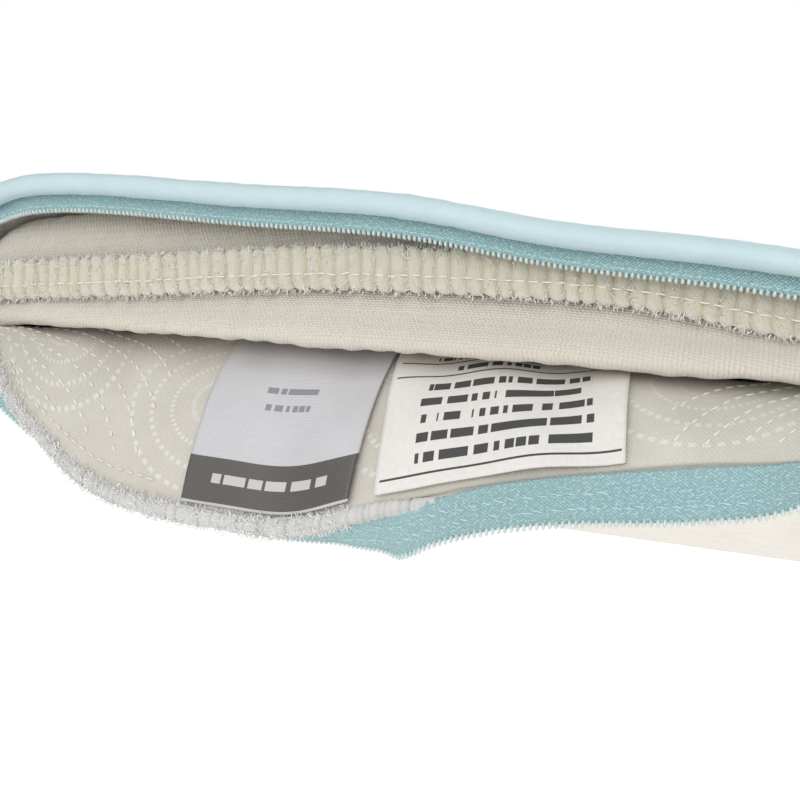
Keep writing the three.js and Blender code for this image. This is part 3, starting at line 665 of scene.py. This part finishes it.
def knit_case():
    """Fine jersey: ribs 1.15 mm apart crossed by small loops, turning into a zigzag towards -X."""
    f = Finish("jersey_case", KNIT, 0.9, Sheen_Weight=0.35, Sheen_Roughness=0.5)
    a, b = f.cloth()
    sway = f.node("ShaderNodeMapRange", None, {0: a, 1: -40.0, 2: 45.0, 3: 0.35, 4: 0.0})
    ribs = ((a + (b * (TAU / 2.1)).sine() * sway) * (TAU / 1.15)).sine()
    loops = (b * (TAU / 0.7) + ribs * 0.8).sine()
    cloud = f.noise(45, 4)
    f.feed(Base_Color=f.blend(ribs * 0.22 + loops * 0.1 + cloud * 0.5, KNIT_SHADE, KNIT),
           Normal=f.bump(ribs + loops * 0.45, 0.00022, 0.7, on=f.bump(f.noise(900, 3), 0.0002, 0.5)),
           Roughness=0.84 + cloud * 0.12)
    return f.material


def foam(name, colour, pale):
    """Open-cell foam: pits of two sizes."""
    f = Finish(name, colour, 0.95)
    cells = f.node("ShaderNodeTexVoronoi", None, {"Vector": f.place(), "Scale": 900.0})
    tone = f.noise(60, 3)
    f.feed(Base_Color=f.blend(tone, colour, pale), Normal=f.bump(cells, 0.0004, 0.8))
    return f.material


def inside(value, low, high):
    return (value > low) * (value < high)


def print_rows(f, a, b, left, right, low, pitch, rows, thickness, seed, weight):
    """Rows of greeked print: bars of uneven length, broken into blocks at random."""
    row = ((b - low) / pitch).floor()
    across = ((b - low) / pitch).share() < thickness
    jitter = (row * seed).sine() * 0.16
    middle = (left + right) / 2
    half = (right - left) / 2
    width = (a - middle).size() < (0.82 + jitter) * half
    block = f.noise(1.0, 0, where=f.together(a * weight, row * 7.3 + 1.7))
    return across * width * (block > 0.42) * inside(row, -0.5, rows - 0.5)


def satin_label():
    """Size label: bluish-white satin, a dark band with a greeked bar by its lower end, two small rows."""
    f = Finish("satin_label", (222, 221, 224), 0.34, Sheen_Weight=0.2, Specular_IOR_Level=0.6)
    a, b = f.cloth()
    band = inside(b, 0.7, 13.0)
    broken = f.noise(1.0, 0, where=f.together(a * 0.42, 3.0)) > 0.4
    mark = inside(a, -16.0, 17.0) * inside(b, 6.0, 8.6) * broken
    rows = print_rows(f, a, b, -8, 8, 29.0, 5.6, 2, 0.36, 2.3, 0.9)
    weft = (b * (TAU / 0.5)).sine()
    ground = f.blend(f.noise(50, 2), (186, 184, 187), (206, 204, 206))
    banded = f.blend(band, ground, (80, 76, 73))
    inked = f.blend(mark, banded, (194, 192, 190))
    f.feed(Base_Color=f.blend(rows * 0.8, inked, (112, 113, 119)),
           Normal=f.bump(weft, 0.00005, 0.5, on=f.bump(f.noise(120, 2), 0.0006, 0.4)),
           Roughness=0.3 + weft * 0.05)
    return f.material


def paper_label():
    """Content label: bonded fibre sheet with creases, three black rules and greeked rows of bold print."""
    f = Finish("bonded_label", (240, 238, 232), 0.8)
    a, b = f.cloth()
    rules = inside(b, 3.0, 3.6) + inside(b, 35.0, 35.6) + inside(b, 41.6, 42.2)
    rules = rules * inside(a, -29.0, 29.0)
    bold = print_rows(f, a, b, -25, 27, 6.2, 5.7, 5, 0.48, 3.1, 0.62)
    small = print_rows(f, a, b, -16, 12, 37.2, 5.0, 1, 0.46, 1.7, 0.8)
    top = print_rows(f, a, b, -22, -4, 43.6, 4.0, 1, 0.46, 4.4, 0.9)
    ink = (rules + bold + small + top).at_most(1.0)
    fibres = f.noise(700, 4, roughness=0.7)
    crease = (f.noise(38, 3) - 0.5).size()
    paper = f.blend(fibres, (211, 207, 201), (232, 229, 224))
    f.feed(Base_Color=f.blend(ink * 0.93, paper, (26, 26, 28)),
           Normal=f.bump(fibres, 0.00018, 0.6, on=f.bump(crease, 0.002, 0.7)))
    return f.material


def slider_paint():
    """Painted zinc: a smooth coat over a faintly uneven casting, worn brighter in specks."""
    f = Finish("painted_zinc", AQUA, 0.32, Metallic=0.25, Coat_Weight=0.5, Coat_Roughness=0.2)
    wear = f.noise(900, 3) > 0.66
    f.feed(Base_Color=f.blend(wear * 0.5, (140, 190, 194), (196, 214, 214)),
           Normal=f.bump(f.noise(500, 2), 0.0001, 0.4), Roughness=0.28 + f.noise(300, 2) * 0.15)
    return f.material


FINISHES = {  # each with the record's slot
    "cloth": (jacquard_cloth(), "cover_cloth"),
    "satin": (satin_bias(), "satin_piping"),
    "tape": (zip_tape(), "zip_tape"),
    "coil": (coil_plastic(), "zip_coil"),
    "white_yarn": (
        # second tone: painted shade between bundles; third: painted highlight on loop tops and the fluff's
        # tone
        yarn("white_serging_yarn", (240, 238, 233), (210, 205, 196), (252, 251, 248)), "white_overlock"),
    "cream_yarn": (yarn("cream_serging_yarn", CREAM, CREAM_GAP_SHADE, CREAM_PALE), "cream_overlock"),
    "cream_thread": (thread("cream_sewing_thread", (240, 235, 220)), "cream_overlock"),
    "dash_thread": (thread("woven_dash_yarn", (228, 225, 217)), "cover_cloth"),
    "aqua_thread": (thread("aqua_sewing_thread", (190, 218, 220)), "zip_tape"),
    "case": (knit_case(), "knit_case"),
    "pad": (foam("pad_foam", (236, 222, 190), (246, 238, 216)), "foam"),
    "fill": (foam("shredded_foam", (226, 214, 186), (248, 240, 220)), "foam"),
    "satin_label": (satin_label(), "satin_label"),
    "paper_label": (paper_label(), "paper_label"),
    "cord": (thread("cotton_cord", (244, 243, 238)), "cotton_cord"),
    "paint": (slider_paint(), "slider_paint"),
}


def finished(thing, finish, *nodes, body="pillow"):
    """Gives a piece its finish, lets it ride on its body and stand for CAD nodes."""
    material, slot = FINISHES[finish]
    thing.data.materials.clear()
    thing.data.materials.append(material)
    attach(thing, body)
    if nodes:
        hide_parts(*nodes)


# ---- camera and light ----
def camera_and_light():
    """The camera looks from low in front of the mouth; the light is a bright white studio all round."""
    turn, rise, roll = math.radians(20), math.radians(3.86), math.radians(7)
    right = np.array([math.cos(turn), math.sin(turn), 0])
    forward = np.array([-math.sin(turn) * math.cos(rise), math.cos(turn) * math.cos(rise), math.sin(rise)])
    up = np.cross(right, forward)
    right, up = right * math.cos(roll) + up * math.sin(roll), up * math.cos(roll) - right * math.sin(roll)
    camera = new_object("camera", bpy.data.cameras.new("camera"))
    matrix = np.eye(4)
    matrix[:3, 0], matrix[:3, 1], matrix[:3, 2] = right, up, -forward
    matrix[:3, 3] = (0.0371, -0.5831, 0.026)
    camera.matrix_world = [list(column) for column in matrix.T]
    camera.data.lens = 41.4
    camera.data.sensor_width = 36
    camera.data.clip_start = 0.01
    bpy.context.scene.camera = camera

    for name, place, size, watts in (
        ("key_light", (-0.5, -1.2, 1.3), 1.5, 7),
        ("front_fill", (0.2, -1.7, 0.1), 1.2, 12),
        ("back_light", (0.3, 1.5, 1.6), 1.8, 14),
    ):
        lamp = bpy.data.lights.new(name, "AREA")
        lamp.size, lamp.energy = size, watts
        thing = new_object(name, lamp)
        way = np.array([0, -0.1, 0.05]) - np.array(place)
        thing.location = place
        thing.rotation_euler = (
            math.atan2(math.hypot(way[0], way[1]), -way[2]), 0, math.atan2(way[1], way[0]) - math.pi / 2)

    world = bpy.data.worlds.new("studio")
    world.use_nodes = True
    nodes, links = world.node_tree.nodes, world.node_tree.links
    light = nodes["Background"]
    light.inputs[0].default_value = (0.97, 0.985, 1, 1)
    light.inputs[1].default_value = 0.5
    seen = nodes.new("ShaderNodeBackground")
    seen.inputs[0].default_value = (1, 1, 1, 1)
    path, either = nodes.new("ShaderNodeLightPath"), nodes.new("ShaderNodeMixShader")
    links.new(path.outputs["Is Camera Ray"], either.inputs[0])
    links.new(light.outputs[0], either.inputs[1])
    links.new(seen.outputs[0], either.inputs[2])
    links.new(either.outputs[0], nodes["World Output"].inputs[0])
    bpy.context.scene.world = world
    bpy.context.scene.view_settings.view_transform = "Standard"

    floor = piece("floor", [(-6000, -6000, 0), (6000, -6000, 0), (6000, 6000, 0), (-6000, 6000, 0)],
                  [np.array([[0, 1, 2, 3]])])
    ground = Finish("floor_white", (150, 150, 150), 0.9, Emission_Color=(1, 1, 1, 1), Emission_Strength=0.86)
    floor.data.materials.append(ground.material)


# ---- the cover ----
FRONT_REACH = HALF_WIDTH - CORNER + (CORNER - RIM_INSET) * math.pi / 4
FLAP_STRETCH = 3.4  # millimetres of flap for each millimetre of the depth that it is drawn with
COLUMNS = seam_steps(321, 0.45)


def rows_of(front, body, front_depth):
    """Rows from the zipped end: evenly close over front_depth, then by a cosine to the back."""
    near = np.linspace(0, front_depth, front)
    far = mix(front_depth, 2 * HALF_LENGTH, (1 - np.cos(np.linspace(0, math.pi, body + 1)[1:])) / 2)
    return share_of(np.concatenate([near, far]))


def flap_run(depth):
    """Length along the cloth from the crest: below 0 out on the flap, above 0 inside the cover."""
    return np.where(depth < CREST_DEPTH, (depth - CREST_DEPTH) * FLAP_STRETCH, depth - CREST_DEPTH)


def seam_puckers(u, v, seed):
    """Small gathers square to the seams that die away 22 mm in."""
    x, y = u * HALF_WIDTH, v * HALF_LENGTH
    to_side = (1 - np.abs(u)) * HALF_WIDTH
    to_end = (1 - np.abs(v)) * HALF_LENGTH
    along_side = unevenness(seed, y, size=13) * fade(to_side, 22)
    along_end = unevenness(seed + 1, x, size=13) * fade(to_end, 22)
    return 0.75 * (along_side + along_end)


def upper_cloth(u, v, off):
    """The top panel off its middle: puckers at the seams, soft hollows across the dome."""
    base, n = top_surface(u, v), normals(top_surface, u, v)
    x, y = base[..., 0], base[..., 1]
    hollows = 1.3 * unevenness(21, x, y, size=95) + 0.5 * unevenness(22, x, y, size=38)
    hollows = hollows * settle((1 - np.abs(u)) * HALF_WIDTH, 60) * settle((1 - np.abs(v)) * HALF_LENGTH, 60)
    lift = off + hollows + seam_puckers(u, v, 23) - 1.0
    return base + n * lift[..., None]


def lower_cloth(u, v, off):
    """The lower panel off its middle: soft folds on the flap, puckers at the seams, flat where it rests."""
    base, n = bottom_surface(u, v), normals(bottom_surface, u, v)
    depth = depth_of(v) + 0 * u
    x, run = base[..., 0], flap_run(depth)
    on_flap = fade(np.maximum(run, 0), 30) * open_at(x)
    folds = 0.9 * unevenness(31, x + 0.5 * run, run * 0.35, size=34) * on_flap
    lift = off + folds + 0.5 * seam_puckers(u, v, 33) * (1 - open_at(x) * fade(depth, 40))
    point = base + n * lift[..., None]
    point[..., 2] = np.maximum(point[..., 2], off * 0.5 + COVER_CLOTH / 4)
    return point


def make_cover():
    half = COVER_CLOTH / 2
    u, v = COLUMNS[None, :], rows_of(26, 88, 50)[:, None]
    faces = upper_cloth(u, v, half), upper_cloth(u, v, -half)
    top = cloth_piece("cover_top", *faces, {"outside": (1, 0)})
    finished(top, "cloth", "cover_top_panel")
    v = rows_of(34, 84, CREST_DEPTH)[:, None]
    faces = lower_cloth(u, v, half), lower_cloth(u, v, -half)
    bottom = cloth_piece("cover_bottom", *faces, {"outside": (0, 1)})
    finished(bottom, "cloth", "cover_bottom_panel")


def outline_places(inset, count, height):
    """Places once round the outline, evenly spaced on each side, at height(x, depth) above the floor."""
    long_side, short_side = int(count * 0.3), int(count * 0.2)
    t_long, t_short = np.linspace(-1, 1, long_side, False), np.linspace(-1, 1, short_side, False)
    one = np.ones_like
    u = np.concatenate([t_short, one(t_long), -t_short, -one(t_long)])
    v = np.concatenate([-one(t_short), t_long, one(t_short), -t_long])
    x, y = plan(u, v, inset)
    depth = depth_of(v)
    return stack(x, y - OPEN_DEPTH * open_at(x) * fade(depth, 25), height(x, depth))


def piping_height(x, depth):
    return mix(SIDE_SEAM, upper_piping_z(x), fade(depth, 40))


def make_piping():
    """Corded piping: a tube whose radius wavers a little where the cord and its stitching pull."""
    places = outline_places(0, 1640, piping_height)
    out, up = level_frames(places, closed=True)
    s = run_lengths(places)
    waver = 1 + 0.035 * unevenness(41, s, size=24) + 0.02 * unevenness(42, s, size=7)
    section = round_section(PIPING_RADIUS - 0.12, 22)[None] * waver[:, None, None]
    tube = swept_piece("piping", places, out, up, section, closed=True)
    finished(tube, "satin", "piping_sleeve")

    # the bias strip's two layers run back into the seam as a flat flange
    flat = np.array([[-RIM_INSET - 1.6, -0.7], [-2.4, -1.1], [-2.4, 1.1], [-RIM_INSET - 1.6, 0.7]])
    flange = swept_piece("piping_flange", places, out, up, flat, closed=True)
    finished(flange, "satin")
    cord_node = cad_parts["piping_filler_cord"]
    cord_node.data.materials.clear()
    cord_node.data.materials.append(FINISHES["cord"][0])


# ---- serging ----
def serged(name, places, out, up, width, height, pitch, relief, seed, squareness=0.6, slant=0.0, sides=26):
    """A line of serging along places. Its section is a squared round of width by height. Every pitch a
    yarn bundle swells it by relief times a rounded comb |cos|; bundles differ in swell and height, and
    their tops stand up as loops."""
    s = run_lengths(places)[:, None]
    c, h = np.cos(turns(sides))[None], np.sin(turns(sides))[None]
    phase = s / pitch + 0.22 * unevenness(seed, s, size=pitch * 5) + slant * h
    comb = np.abs(np.cos(math.pi * phase)) ** 0.7
    rng = np.random.default_rng(seed)
    each = rng.uniform(-1, 1, 4096)
    number = np.floor(phase + 0.5).astype(int) % 4096
    swell = relief * (comb * (1 + 0.3 * each[number]) - 0.55)
    tip = np.clip(h, 0, 1) ** 3
    foot = np.clip(-h, 0, 1) ** 3
    tall = height / 2 + tip * (0.9 * relief * (comb - 0.5) + 0.35 * relief * each[number - 7])
    tall = tall + foot * 0.6 * relief * (comb - 0.5)
    o = np.sign(c) * np.abs(c) ** squareness * width / 2 + c * swell
    z = np.sign(h) * np.abs(h) ** squareness * tall + h * swell * 0.3
    fuzz = 0.12 * unevenness(seed + 3, s, h * 9, c * 9, size=2.3)
    section = np.stack([o + c * fuzz, z + h * fuzz], -1)
    # crown marks the bundles, for painted shade between them; the tip mark covers the loops' tops and, half
    # as strong, their feet, for painted highlight
    crown = np.clip(comb * 1.15, 0, 1)
    tip_highlight = np.clip(tip * comb + 0.5 * foot * comb, 0, 1)
    return swept_piece(name, places, out, up, section, marks={"crown": crown, "tip": tip_highlight})


def fuzz(name, places, out, up, width, height, count, reach, seed):
    """Loose fibre ends round a serged line: thin bent hairs, standing out at random all round it."""
    s = run_lengths(places)
    rng = np.random.default_rng(seed)
    at, turn = rng.uniform(0, s[-1], count), rng.uniform(-0.62, 1.25, count) * math.pi
    spot, o, a = follow(at, s, places, out, up)
    c, h = np.cos(turn)[:, None], np.sin(turn)[:, None]
    root = spot + o * c * width / 2 + a * np.sign(h) * np.abs(h) ** 0.6 * height / 2
    stand = unit(o * c + a * h * 1.3 + rng.normal(0, 0.45, (count, 3)))
    side = unit(np.cross(stand, rng.normal(size=(count, 3))))
    long = rng.uniform(0.5, 1.2, count)[:, None, None] * reach
    t = np.linspace(0, 1, 5)
    bend = np.stack([0.75 * np.sin(2.2 * t), 0.77 * t**2, 0 * t], -1)
    ring = 0.085 * np.array([[0, math.cos(k), math.sin(k)] for k in (0.0, 2.1, 4.2)])
    shape = (bend[:, None] + ring * (1.15 - t)[:, None, None]).reshape(-1, 3)
    faces = tube_faces(5, 3)
    axes = np.stack([stand, side, np.cross(stand, side)], 1)
    # the hairs are marked all pale, so they take the yarn's painted highlight tone all over
    pale = np.ones(len(shape))
    return copies(name, shape, faces, root, axes * long, {"crown": pale, "tip": pale})


def stitch_line(name, places, out, up, off, drop, stitch, gap, width, seed):
    """Straight stitches along places, off along out and drop along up: beads with gaps, tilted a little."""
    s = run_lengths(places)
    count = int((s[-1] - 1) / (stitch + gap))
    at = 0.5 + (np.arange(count) + 0.5) * (stitch + gap)
    spot, o, a = follow(at, s, places, out, up)
    way = np.cross(a, o)
    rng = np.random.default_rng(seed)
    tilt = rng.normal(0, 0.07, count)[:, None]
    way, a = way + a * tilt, a - way * tilt
    shape, faces = bead(stitch, width, width * 0.8)
    wander = rng.normal(0, 0.1, count)[:, None]
    return copies(name, shape, faces, spot + o * off + a * (drop + wander), np.stack([way, a, o], 1))


def zip_frames(xs, lower):
    """Places and frames along one half of the zip; up points across the tape, away from its seam side."""
    if not lower:
        places = stack(xs, FRONT_Y + TAPE_BACK - OPEN_DEPTH * open_at(xs), upper_piping_z(xs) - CHAIN_DROP)
        return places, np.tile([0, -1.0, 0], (len(xs), 1)), np.tile([0, 0, 1.0], (len(xs), 1))
    angle = np.radians(lower_tape_angle(xs))
    up = stack(0 * xs, -np.cos(angle), np.sin(angle))
    out = stack(0 * xs, -np.sin(angle), -np.cos(angle))
    return roll_centre(xs), out, up


def at_places(which, *fields):
    return [field[which] for field in fields]


def tape_cover(xs):
    """1 where the lower tape lies over the serged edge and hides it, 0 where it starts below the edge."""
    return ease(-58, -8, xs) * (1 - ease(60, 104, xs))


def tape(name, places, out, up, low, high, rows):
    """A strip of tape from low to high across its width, a little wavy along its length."""
    share = np.linspace(0, 1, rows)[:, None]
    across = mix(np.ravel(low)[None, :], high, share)
    x = places[None, :, 0]
    wave = 0.16 * unevenness(51, x, size=21) * share
    middle = places[None] + up[None] * across[..., None] + out[None] * wave[..., None]
    half = out[None] * TAPE_CLOTH / 2
    return cloth_piece(name, middle + half, middle - half)


def teeth(name, places, out, up, start, length, shift):
    """Coil teeth: rounded heads one pitch apart, standing from start along up for length; shift, in
    pitches, sets one half of the zip between the teeth of the other."""
    s = run_lengths(places)
    at = np.arange(COIL_PITCH / 2 + shift * COIL_PITCH, s[-1] - 0.3, COIL_PITCH)
    spot, o, a = follow(at, s, places, out, up)
    shape, faces = bead(length, 0.95, 1.9, around=8, stations=6)
    middle = spot + a * (start + length / 2)
    return copies(name, shape, faces, middle, np.stack([a, np.cross(a, o), o], 1))


def make_zip():
    """The two halves of the zip: tape, coil teeth and their stitching, and the serged roll of the lower
    lip, slimmer and tucked in where the tape lies over it and hairy where it is bare."""
    xs = np.linspace(-ZIP_END, ZIP_END, 560)
    places, out, up = zip_frames(xs, lower=False)
    strip = tape("upper_zip_tape", places, out, up, 1.7, 6.8, rows=9)
    finished(strip, "tape", "zip_tape_upper")
    row = teeth("upper_zip_coil", places, out, up, 0.6, 1.5, 0.0)
    finished(row, "coil", "zip_coil_upper")
    line = stitch_line("upper_coil_stitches", *at_places(xs < 96, places, out, up), 0.4, 2.7,
                       1.1, 0.32, TAPE_THREAD, 53)
    finished(line, "aqua_thread")

    places, out, up = zip_frames(xs, lower=True)
    cover = tape_cover(xs)[:, None]
    ahead = places - out * 1.9 * cover
    strip = tape("lower_zip_tape", ahead, out, up, ROLL_RADIUS + 0.1 - 2 * cover, TAPE_HEAD + 0.6, rows=19)
    finished(strip, "tape", "zip_tape_lower")
    row = teeth("lower_zip_coil", ahead, out, up, TAPE_HEAD + 0.1, 1.7, 0.5)
    finished(row, "coil", "zip_coil_lower")
    for k, (across, last) in enumerate(((5.6, 16), (9.4, ZIP_END))):
        line = stitch_line(f"lower_tape_stitches_{k + 1}", *at_places(xs <= last, ahead, out, up), -0.42,
                           across, 2.9, 0.35, TAPE_THREAD, 55 + k)
        finished(line, "aqua_thread")
    across = 2 * ROLL_RADIUS * (1 - 0.4 * cover)
    tucked = places + (up * 2.4 + out * 0.4) * cover
    roll = serged("edge_serging", tucked, out, up, across, across, 1.9, 0.62, 57,
                  squareness=0.9, sides=20)
    finished(roll, "white_yarn", "cover_edge_overlock")
    hairs = fuzz("edge_serging_fuzz", *at_places(xs < -48, tucked, out, up), 3.9, 3.9, 4400, 2.1, 58)
    finished(hairs, "white_yarn")


# ---- raised dashes woven into the flap ----
RING_STEP, DASH_STEP = 6.4, 3.6


def flap_point(x, run, off):
    """A place on the flap's inner face by X and the length from the crest, off millimetres proud."""
    return lower_cloth(x / FRONT_REACH, share_of(CREST_DEPTH + run / FLAP_STRETCH), COVER_CLOTH / 2 + off)


def make_dashes():
    """Rings of short raised dashes, on circles round two centres beyond the flap's edge, clear of the
    labels and the edge; then a row of stitches along the edge's left part."""
    arcs = [(-150, -62, r) for r in np.arange(26, 70, RING_STEP)]
    arcs += [(86, -60, r) for r in np.arange(20, 76, RING_STEP)]
    spots = []
    for cx, cs, r in arcs:
        t = np.arange(0.15, math.pi - 0.1, DASH_STEP / r)
        spots.append(np.stack([cx + r * np.cos(t), cs + r * np.sin(t), t], -1))
    x, run, t = np.concatenate(spots).T
    clear = (run < -3) & (run > -38) & ((x < -112) | (x > 24)) & (x > -196) & (x < 118)
    x, run, t = x[clear], run[clear], t[clear]
    middle = flap_point(x, run, 0.1)
    ahead = flap_point(x - np.sin(t), run + np.cos(t), 0.1) - middle
    aside = flap_point(x + np.cos(t), run + np.sin(t), 0.1) - middle
    ahead = unit(ahead)
    proud = unit(np.cross(ahead, aside))
    proud *= np.sign((proud * (flap_point(x, run, 1.0) - middle)).sum(1, keepdims=True))
    shape, faces = bead(2.6, 0.7, 0.42)
    dashes = copies("flap_dashes", shape, faces, middle, np.stack([ahead, np.cross(proud, ahead), proud], 1))
    finished(dashes, "dash_thread")

    x = np.linspace(-205, -104, 400)
    run = np.full_like(x, -40.0)
    places = flap_point(x, run, 0.0)
    proud = flap_point(x, run, 1.0) - places
    across = unit(np.cross(np.gradient(places, axis=0), proud))
    line = stitch_line("flap_topstitch", places, proud, across, 0.25, 0, 2.6, 0.8, 0.5, 61)
    finished(line, "dash_thread")


# ---- labels ----
LABEL_CLOTH, LABEL_GAP = 0.35, 0.55


def label_cloth(name, foot, head, curl, seed, finish, node):
    """A label on the flap's inner face: from foot = (left, right) by the flap's edge to head = (left,
    right) at the crest, then on under the inner pillow; it lifts in soft waves of up to curl."""
    out_on_flap, inside_cover = np.linspace(0.4, CREST_DEPTH, 56), np.linspace(CREST_DEPTH, 19, 12)[1:]
    depth = np.concatenate([out_on_flap, inside_cover])[:, None]
    share = np.minimum(depth / CREST_DEPTH, 1.0)
    left, right = mix(foot[0], head[0], share), mix(foot[1], head[1], share)
    x = mix(left, right, np.linspace(0, 1, 49)[None, :])
    lift = curl * (0.5 + 0.5 * unevenness(seed, x, depth * FLAP_STRETCH, size=30)) * (1 - share**6)
    u, v = x / FRONT_REACH, share_of(depth)
    under = COVER_CLOTH / 2 + LABEL_GAP + lift
    sheet = cloth_piece(name, lower_cloth(u, v, under + LABEL_CLOTH), lower_cloth(u, v, under))
    finished(sheet, finish, node)


def make_labels():
    label_cloth("satin_size_label", (-95, -48), (-99, -50), 1.3, 71,
                "satin_label", "size_label")
    label_cloth("content_label", (-41.5, 16), (-49.3, 11), 1.6, 73,
                "paper_label", "law_label")


# ---- the inner pillow ----
def lumps(u, v, surface, side):
    """The case over its loose filling: broad and small lumps that die away at the seams."""
    base, n = surface(u, v), normals(surface, u, v)
    x, y = base[..., 0], base[..., 1]
    near = settle((1 - np.abs(u)) * HALF_WIDTH, 25) * settle((1 - np.abs(v)) * HALF_LENGTH, 25)
    lump = 1.1 * unevenness(81 + side, x, y, size=60) + 0.45 * unevenness(84 + side, x, y, size=22)
    gather = 0.35 * unevenness(86, x, size=9) * fade((1 + v) * HALF_LENGTH, 16)
    return base, n * side, lump * near + gather


def make_insert():
    """The inner pillow's case, its two halves kept apart at the seam, and the serged closing seam."""
    u, v = COLUMNS[None, :], rows_of(26, 84, 24)[:, None]
    for name, surface, side, node in (
        ("insert_top", insert_top, 1, "insert_case_top"),
        ("insert_bottom", insert_bottom, -1, "insert_case_bottom"),
    ):
        base, away, lump = lumps(u, v, surface, side)
        outer = base + away * lump[..., None]
        inner = outer - away * CASE_CLOTH
        from_seam = base[..., 1] - FRONT_Y - INSERT_FRONT
        seam = mix(SIDE_SEAM - 1, insert_seam_z(base[..., 0]), fade(from_seam, 60))
        for cloth in (outer, inner):
            cloth[..., 2] = side * np.maximum(side * cloth[..., 2], side * seam + 0.15)
        case = cloth_piece(name, *((outer, inner) if side > 0 else (inner, outer)))
        finished(case, "case", node)

    reach = 1 - 1.3 * CORNER / HALF_WIDTH
    t = np.linspace(-reach, reach, 1050)
    ends = np.full_like(t, -1.0)
    places = (insert_top(t, ends) + insert_bottom(t, ends)) / 2
    places[:, 1] -= 1.2 + BAND_THICKNESS / 2
    out, up = level_frames(places)
    band = serged("closing_seam_serging", places, out, up, BAND_THICKNESS - 0.7, BAND_HEIGHT - 1.2,
                  4.1, 1.0, 91, squareness=0.5, slant=0.22, sides=34)
    finished(band, "cream_yarn", "insert_front_overlock")
    hairs = fuzz("closing_seam_fuzz", places, out, up, BAND_THICKNESS, BAND_HEIGHT - 0.8, 6000, 1.8, 93)
    finished(hairs, "cream_yarn")
    line = stitch_line("closing_seam_stitches", places, out, up, BAND_THICKNESS / 2 + 0.35, -2.0,
                       3.1, 0.3, 0.42, 92)
    finished(line, "cream_thread")


def sewn_side_line(surface_a, surface_b, count):
    """Places along the three sewn sides, half way between two surfaces' rims."""
    t = np.linspace(-0.9, 1, count)
    back = np.linspace(1, -1, int(count * 0.7))[1:]
    u = np.concatenate([np.ones(count), back, -np.ones(count - 1)])
    v = np.concatenate([t, np.ones(len(back)), t[::-1][1:]])
    return (surface_a(u, v) + surface_b(u, v)) / 2


def make_side_serging():
    """Serging along the three sewn sides: on the case's seam, and on the cover's seam allowance."""
    places = sewn_side_line(insert_top, insert_bottom, 620)
    out, up = level_frames(places)
    ridge = serged("insert_side_serging", places + out * 2.6, out, up, 4.0, 2.2, 2.6, 0.35, 95, sides=12)
    finished(ridge, "cream_yarn", "insert_side_overlock")

    def allowance(u, v):
        return stack(*plan(u, v, RIM_INSET + 5.5), SIDE_SEAM + 0.5)

    places = sewn_side_line(allowance, allowance, 620)
    out, up = level_frames(places)
    roll = serged("cover_side_serging", places, out, up, 2.6, 2.4, 2.2, 0.3, 96, sides=12)
    finished(roll, "white_yarn", "cover_side_overlock")


def make_filling():
    """Foam between shares of the height inside the case: two pads with a slab's even skin, and between
    them a body of shredded foam, its surface broken into crumbs."""
    u, v = seam_steps(110, 0.9)[None, :] * 0.955, seam_steps(150, 0.9)[:, None] * 0.955
    away = CASE_CLOTH + 3.5
    floor = insert_bottom(u, v) + normals(insert_bottom, u, v) * away
    roof = insert_top(u, v) - normals(insert_top, u, v) * away
    x, y = floor[..., 0], floor[..., 1]
    skin = 0.25 * unevenness(101, x, y, size=9)
    crumbs = -1.6 * np.abs(unevenness(102, x, y, size=11, waves=12))
    for name, low, high, rough, finish, node in (
        ("foam_pad_top", 0.72, 1.0, skin, "pad", "foam_pad_upper"),
        ("shredded_foam_body", 0.28, 0.72, crumbs, "fill", "shredded_foam_fill"),
        ("foam_pad_base", 0.0, 0.28, skin, "pad", "foam_pad_lower"),
    ):
        out = (rough - LAYER_GAP / 2)[..., None] * [0, 0, 1]
        body = cloth_piece(name, mix(floor, roof, high) + out, mix(floor, roof, low) - out)
        finished(body, finish, node)


# ---- slider ----
def make_slider():
    """The slider and its pull tab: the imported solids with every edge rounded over."""
    for node, name, body, width in (
        ("zip_slider", "slider_body", "slider", 0.00028),
        ("zip_pull_tab", "slider_pull_tab", "pull_tab", 0.00035),
    ):
        thing = new_object(name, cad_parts[node].data.copy())
        weld = thing.modifiers.new("weld", "WELD")
        weld.merge_threshold = 0.00002
        bevel = thing.modifiers.new("round", "BEVEL")
        bevel.width, bevel.segments, bevel.limit_method = width, 3, "ANGLE"
        bevel.angle_limit = math.radians(40)
        finished(thing, "paint", node, body=body)


camera_and_light()
make_cover()
make_piping()
make_zip()
make_dashes()
make_labels()
make_insert()
make_side_serging()
make_filling()
make_slider()
